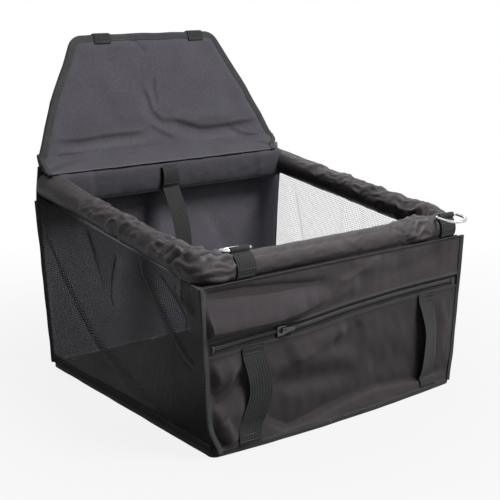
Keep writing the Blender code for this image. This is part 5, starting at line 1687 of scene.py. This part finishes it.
FRONT_STRAPS = [
    # name, middle, then sideways drift along the strap from top to foot, and how far its edges twist
    ("left", -0.133, [(0.0, 0.001), (0.12, 0.002), (0.32, 0.0065), (0.52, 0.0075), (0.68, 0.0015), (0.9, -0.0055),
                      (1.0, -0.0062)], 0.0022),
    ("right", 0.1395, [(0.0, -0.0035), (0.15, -0.003), (0.4, 0.0005), (0.6, -0.001), (0.85, 0.002), (1.0, 0.0028)],
     -0.0048),
]


def make_front_strap(name, middle, drift, twist, rows):
    """One loose strap over the pocket, from the zip's tape to the foot."""
    top = float(zip_line(middle)) - 0.0072
    share = np.linspace(0, 1, 90)
    z = top + (0.0092 - top) * share
    x = middle + np.interp(share, *np.array(drift).T)
    x = np.convolve(np.pad(x, 8, "edge"), np.ones(17) / 17, "valid")
    bow = 0.0082 * np.sin(pi * np.clip((share - 0.10) / 0.80, 0, 1)) ** 0.8
    away = np.maximum(front_relief(x, z), -0.0004) * (1 - np.clip(bow / 0.004, 0, 1)) + 0.0009 + bow
    line = rounded(points_at(x, FRONT_FACE - away, z), LINE_STEP, 14)

    def lift(run, place):
        free = np.sin(pi * np.clip(run / run.max(), 0, 1)) ** 0.7
        return 0.0006 * place ** 2 - 0.0004 * place * np.sin(run * 60) + twist * place * free

    strap = make_strap("front_strap_webbing_" + name, line, STRAP_WIDTH, lift)
    seat_piece(strap, "root", "webbing", "front_strap_" + name)
    for height in (top - 0.0022, top - 0.0085, 0.0118, 0.0178):
        k = int(np.argmin(np.abs(line[:, 2] - height)))
        rows.append((line[k] + np.array([[-0.0125, -0.0010, 0], [0.0125, -0.0010, 0]]), (0, -1, 0)))


class SEAT_OT_straps(SeatPart):
    """Loose ribbed straps below the zip, sewn down at both ends."""

    bl_idname = "seat.straps"
    bl_label = "Front straps"

    def execute(self, context):
        rows = []
        for strap in FRONT_STRAPS:
            make_front_strap(*strap, rows)
        sew("front_strap_stitches", rows, "root", "webbing", TACK_LENGTH, TACK_GAP)
        return {"FINISHED"}


# Ring tabs and rings

SLEEVE_RADIUS = 0.0155
EYE_REACH = SLEEVE_RADIUS + 0.0003 + 0.00185 + 0.0003 + 0.0021  # sleeve, gap, wire, gap, webbing
RING_TABS = [
    # name, middle, where round the rim the eye is, and how the ring lies
    ("left", -0.139, radians(100), radians(-12)),
    ("right", 0.172, radians(125), radians(186)),
]


def eye_middle(angle):
    """Middle of a ring tab's eye, as y and z."""
    return np.array([-RIM_Y + EYE_REACH * cos(angle), FRONT_RIM_Z + EYE_REACH * sin(angle)])


def arc(middle, radius, start, end, count):
    """Pairs along an arc."""
    return [middle + radius * np.array([cos(t), sin(t)]) for t in np.linspace(start, end, count)]


def make_ring_tab(name, middle, angle, rows):
    """Webbing that comes up over the rim from the front wall and folds round the ring's bar."""
    axis = np.array([-RIM_Y, FRONT_RIM_Z])
    inner, start = SLEEVE_RADIUS + 0.0009, radians(214)
    path = arc(axis, inner, start, angle + 0.30, 26)
    path += arc(eye_middle(angle), 0.0031, angle + radians(215), angle + radians(-95), 18)
    path += arc(axis, inner + 0.0014, angle + 0.36, start - 0.05, 24)
    y, z = rounded(path, LINE_STEP, 6).T
    tab = make_strap("ring_tab_webbing_" + name, points_at(middle, y, z), TAB_WIDTH)
    seat_piece(tab, "root", "webbing", "ring_tab_" + name)
    for turn in (angle + 0.50, radians(176), radians(200)):
        out = np.array([0, cos(turn), sin(turn)])
        centre = np.array([middle, axis[0], axis[1]]) + out * (inner + 0.0021)
        rows.append((centre + np.array([[-SEAM_HALF, 0, 0], [SEAM_HALF, 0, 0]]), out))


RING_HALF = 0.019
RING_DEPTH = 0.031
RING_CORNER = 0.004


def ring_outline():
    """A D ring in its own plane, its bar along x and its bow up."""
    wire = sizes().ring_wire
    half, depth, corner = RING_HALF - wire, RING_DEPTH - 2 * wire, RING_CORNER
    arcs = [((half - corner, corner), corner, -pi / 2, 0), ((0, depth - half), half, 0, pi),
            ((corner - half, corner), corner, pi, 3 * pi / 2)]
    path = []
    for middle, radius, start, end in arcs:
        path += arc(np.array(middle), radius, start, end, 14)
    return resample(path + [path[0]], 0.0009)[:-1]


def make_ring(name, middle, angle, dip):
    """A D ring with its bar in the tab's eye."""
    flat = ring_outline()
    forward = np.array([0, cos(dip), sin(dip)])
    line = np.array([middle, *eye_middle(angle)]) + flat[:, :1] * np.array([1.0, 0, 0]) + flat[:, 1:] * forward
    skin = Skin()
    skin.add_loop(round_rings(line, np.cross([1.0, 0, 0], forward), sizes().ring_wire, 20, closed=True))
    seat_piece(skin.piece("d_ring_" + name, "chrome", 60), "ring_" + name, "chrome", "ring_" + name)


class SEAT_OT_rings(SeatPart):
    """Webbing tabs over the rim and the D rings that swing in their eyes."""

    bl_idname = "seat.rings"
    bl_label = "Ring tabs and rings"

    def execute(self, context):
        rows = []
        for name, middle, angle, dip in RING_TABS:
            make_ring_tab(name, middle, angle, rows)
            make_ring(name, middle, angle, dip)
        sew("ring_tab_stitches", rows, "root", "webbing", TACK_LENGTH, TACK_GAP)
        return {"FINISHED"}


# Tether and its snap hook

TETHER_X = -0.018
TETHER_PIVOT = np.array([TETHER_X, 0.14725, 0.22839])
TETHER_LOOP = np.array([TETHER_X, 0.11725, 0.11839])
TETHER_DROP = 0.082


BAND_DEPTH = 0.0175
BAND_HEIGHT = 0.0215


def band_front(rise, standoff):
    """A point before the tunnel, this far above its middle, as y and z."""
    y = RIM_Y - BAND_DEPTH * sqrt(1 - (rise / BAND_HEIGHT) ** 2)
    slope = unit(np.array([y - RIM_Y, rise * (BAND_DEPTH / BAND_HEIGHT) ** 2]))
    return np.array([y, BACK_RIM_Z + rise]) + slope * standoff


class SEAT_OT_tether(SeatPart):
    """Tether sewn to the tunnel, hanging to its snap hook."""

    bl_idname = "seat.tether"
    bl_label = "Tether"

    def execute(self, context):
        make_tether_end()
        make_tether_strap()
        dress_nodes("nickel", "hook_eye", "hook_body", "hook_bolt")
        return {"FINISHED"}


def make_tether_end():
    """The sewn end of the tether on the tunnel's front, with its box of stitches."""
    y, z = rounded([band_front(rise, 0.0012) for rise in np.linspace(0.0150, -0.0120, 20)], LINE_STEP, 3).T
    sewn = make_strap("tether_sewn_webbing", points_at(TETHER_X, y, z), TETHER_WIDTH)
    seat_piece(sewn, "root", "webbing", "tether_anchor")
    rows = []
    for rise in (0.0125, 0.0105, -0.0080):
        centre = band_front(rise, 0.0021)
        ends = np.array([[TETHER_X - 0.011, *centre], [TETHER_X + 0.011, *centre]])
        rows.append((ends, np.array([0, *unit(centre - np.array([RIM_Y, BACK_RIM_Z]))])))
    for side in (-1, 1):
        pairs = [band_front(rise, 0.0021) for rise in (0.0125, 0.004, -0.004, -0.0080)]
        rows.append((np.array([[TETHER_X + side * SEAM_HALF, *pair] for pair in pairs]), (0, -1, 0.1)))
    sew("tether_stitches", rows, "root", "webbing", TACK_LENGTH, TACK_GAP)


def make_tether_strap():
    """The hanging tether: down to the hook's eye, round it and back up to its box of stitches."""
    top, eye = TETHER_PIVOT[1:], TETHER_LOOP[1:]
    path = [top + np.array([-0.030 * sin(pi * t / 2), -TETHER_DROP * t]) for t in np.linspace(0.0, 1, 40)]
    path[0] = top + np.array([-0.0002, 0.0004])
    path += [eye + np.array([0.0008, 0.018]), eye + np.array([0.0022, 0.008])]
    path += arc(eye, 0.0028, 0.2, -pi - 0.2, 18)
    path += [eye + np.array([-0.0026, 0.008]), eye + np.array([-0.0012, 0.016]), eye + np.array([-0.0011, 0.031])]
    y, z = rounded(path, LINE_STEP, 6).T
    x = TETHER_X + 0.0012 * np.sin(pi * np.clip(np.linspace(0, 1, len(y)) / 0.6, 0, 1))

    def lift(run, place):
        return 0.0005 * np.sin(run * 45) * place

    strap = make_strap("tether_webbing", points_at(x, y, z), TETHER_WIDTH, lift)
    seat_piece(strap, "tether", "webbing", "tether_strap")
    front, low, high = eye[0] - 0.0011 - 0.0009, eye[1] + 0.019, eye[1] + 0.029
    left, right = TETHER_X - SEAM_HALF, TETHER_X + SEAM_HALF
    box = [[(left, low), (right, low)], [(left, high), (right, high)], [(left, low), (left, high)],
           [(right, low), (right, high)]]
    rows = [(np.array([[x, front, z] for x, z in ends]), (0, -1, 0)) for ends in box]
    sew("tether_loop_stitches", rows, "tether", "webbing", TACK_LENGTH, TACK_GAP)


# Stage

LAMPS = [
    # name, place, size
    ("key", (0.65, -1.2, 2.15), 0.9),
    ("fill", (1.1, -2.1, 1.2), 1.6),
    ("top", (-0.2, 0.7, 2.3), 0.9),
    ("back", (0.8, 2.6, 1.5), 1.4),
]
LAMP_AIM = (0, 0, 0.16)
CAMERA_AIM = (0.0036, 0, 0.1665)
SENSOR_WIDTH = 36
FLOOR_REACH = 12.0


class SEAT_OT_stage(SeatPart):
    """Pale floor, studio lamps and the camera."""

    bl_idname = "seat.stage"
    bl_label = "Stage"

    def execute(self, context):
        stage = context.scene.seat_stage
        make_floor(tuple(stage.floor))
        make_world(stage.sky)
        for key, place, size in LAMPS:
            make_lamp(key + "_lamp", place, size, getattr(stage, key))
        make_camera(stage)
        return {"FINISHED"}


def seen_by(nodes, links, *rays):
    """A socket that is 1 for rays of these kinds, and else 0."""
    path = nodes.new("ShaderNodeLightPath")
    seen = path.outputs[rays[0]]
    for ray in rays[1:]:
        node = nodes.new("ShaderNodeMath")
        node.operation = "MAXIMUM"
        links.new(seen, node.inputs[0])
        links.new(path.outputs[ray], node.inputs[1])
        seen = node.outputs[0]
    return seen


def mix_shaders(nodes, links, share, first, second, output_kind):
    """Ends a node tree in two shaders, with this share of the second."""
    mix, output = nodes.new("ShaderNodeMixShader"), nodes.new(output_kind)
    for socket, source in zip(mix.inputs, (share, first.outputs[0], second.outputs[0])):
        links.new(source, socket)
    links.new(mix.outputs[0], output.inputs["Surface"])


def make_floor(colour):
    """A wide floor that the camera and metal see near white, a little greyer by the seat."""
    mesh = bpy.data.meshes.new("floor")
    mesh.from_pydata([(-FLOOR_REACH, -FLOOR_REACH, 0), (FLOOR_REACH, -FLOOR_REACH, 0), (FLOOR_REACH, FLOOR_REACH, 0),
                      (-FLOOR_REACH, FLOOR_REACH, 0)], [], [(0, 1, 2, 3)])
    floor = bpy.data.objects.new("floor", mesh)
    floor.location.z = -0.0004
    bpy.context.scene.collection.objects.link(floor)
    material = bpy.data.materials.new("floor_paper")
    material.use_nodes = True
    nodes, links = material.node_tree.nodes, material.node_tree.links
    nodes.clear()
    place, length = nodes.new("ShaderNodeTexCoord"), nodes.new("ShaderNodeVectorMath")
    length.operation = "LENGTH"
    fade, share = nodes.new("ShaderNodeMapRange"), nodes.new("ShaderNodeMath")
    for key, number in (("From Min", 0.25), ("From Max", 0.85), ("To Min", 0.87), ("To Max", 1.0)):
        fade.inputs[key].default_value = number
    share.operation = "MULTIPLY"
    links.new(place.outputs["Object"], length.inputs[0])
    links.new(length.outputs["Value"], fade.inputs["Value"])
    links.new(seen_by(nodes, links, "Is Camera Ray", "Is Glossy Ray"), share.inputs[0])
    links.new(fade.outputs[0], share.inputs[1])
    paper, glow = nodes.new("ShaderNodeBsdfDiffuse"), nodes.new("ShaderNodeEmission")
    paper.inputs["Color"].default_value = (*colour, 1)
    glow.inputs["Color"].default_value = (1, 1, 1, 1)
    mix_shaders(nodes, links, share.outputs[0], paper, glow, "ShaderNodeOutputMaterial")
    mesh.materials.append(material)


def make_world(strength):
    """Even studio light. The camera, metal and glass see white."""
    world = bpy.data.worlds.new("studio")
    bpy.context.scene.world = world
    world.use_nodes = True
    nodes, links = world.node_tree.nodes, world.node_tree.links
    nodes.clear()
    light, white = nodes.new("ShaderNodeBackground"), nodes.new("ShaderNodeBackground")
    for node, power in ((light, strength), (white, 1.0)):
        node.inputs["Color"].default_value = (1, 1, 1, 1)
        node.inputs["Strength"].default_value = power
    seen = seen_by(nodes, links, "Is Camera Ray", "Is Glossy Ray", "Is Transmission Ray")
    mix_shaders(nodes, links, seen, light, white, "ShaderNodeOutputWorld")


def make_lamp(name, place, size, power):
    """A square lamp that shines at the seat's middle."""
    light = bpy.data.lights.new(name, "AREA")
    light.energy, light.size = power, size
    lamp = bpy.data.objects.new(name, light)
    lamp.location = place
    lamp.rotation_euler = (Vector(LAMP_AIM) - Vector(place)).to_track_quat("-Z", "Y").to_euler()
    bpy.context.scene.collection.objects.link(lamp)


def make_camera(stage):
    """The camera, and the view transform."""
    data = bpy.data.cameras.new("camera")
    data.lens, data.sensor_width = stage.lens, SENSOR_WIDTH
    camera = bpy.data.objects.new("camera", data)
    a, e = stage.azimuth, stage.elevation
    back = Vector((sin(a) * cos(e), -cos(a) * cos(e), sin(e)))
    camera.location = Vector(CAMERA_AIM) + back * stage.distance
    camera.rotation_euler = (-back).to_track_quat("-Z", "Y").to_euler()
    bpy.context.scene.collection.objects.link(camera)
    bpy.context.scene.camera = camera
    bpy.context.scene.view_settings.view_transform = "Standard"


class SEAT_PT_panel(bpy.types.Panel):
    """Lists the seat's colours, sizes and parts."""

    bl_idname = "SEAT_PT_panel"
    bl_label = "Dog car seat"
    bl_space_type = "VIEW_3D"
    bl_region_type = "UI"
    bl_category = "Car seat"

    def draw(self, context):
        for group in ("seat_colours", "seat_sizes", "seat_stage"):
            box = self.layout.box()
            data = getattr(context.scene, group)
            for key in data.bl_rna.properties.keys():
                if key not in ("rna_type", "name"):
                    box.prop(data, key)
        for part in PARTS:
            self.layout.operator(part.bl_idname)


PARTS = (SEAT_OT_flap, SEAT_OT_back, SEAT_OT_rim, SEAT_OT_nets, SEAT_OT_front, SEAT_OT_base, SEAT_OT_corners,
         SEAT_OT_zip, SEAT_OT_straps, SEAT_OT_rings, SEAT_OT_tether, SEAT_OT_stage)
CLASSES = (SeatColours, SeatSizes, SeatStage, *PARTS, SEAT_PT_panel)


def register():
    for item in CLASSES:
        bpy.utils.register_class(item)
    bpy.types.Scene.seat_colours = bpy.props.PointerProperty(type=SeatColours)
    bpy.types.Scene.seat_sizes = bpy.props.PointerProperty(type=SeatSizes)
    bpy.types.Scene.seat_stage = bpy.props.PointerProperty(type=SeatStage)


def unregister():
    del bpy.types.Scene.seat_colours, bpy.types.Scene.seat_sizes, bpy.types.Scene.seat_stage
    for item in reversed(CLASSES):
        bpy.utils.unregister_class(item)


def main():
    register()
    make_finishes()
    for part in PARTS:
        group, name = part.bl_idname.split(".")
        getattr(getattr(bpy.ops, group), name)()


if __name__ == "__main__":
    main()
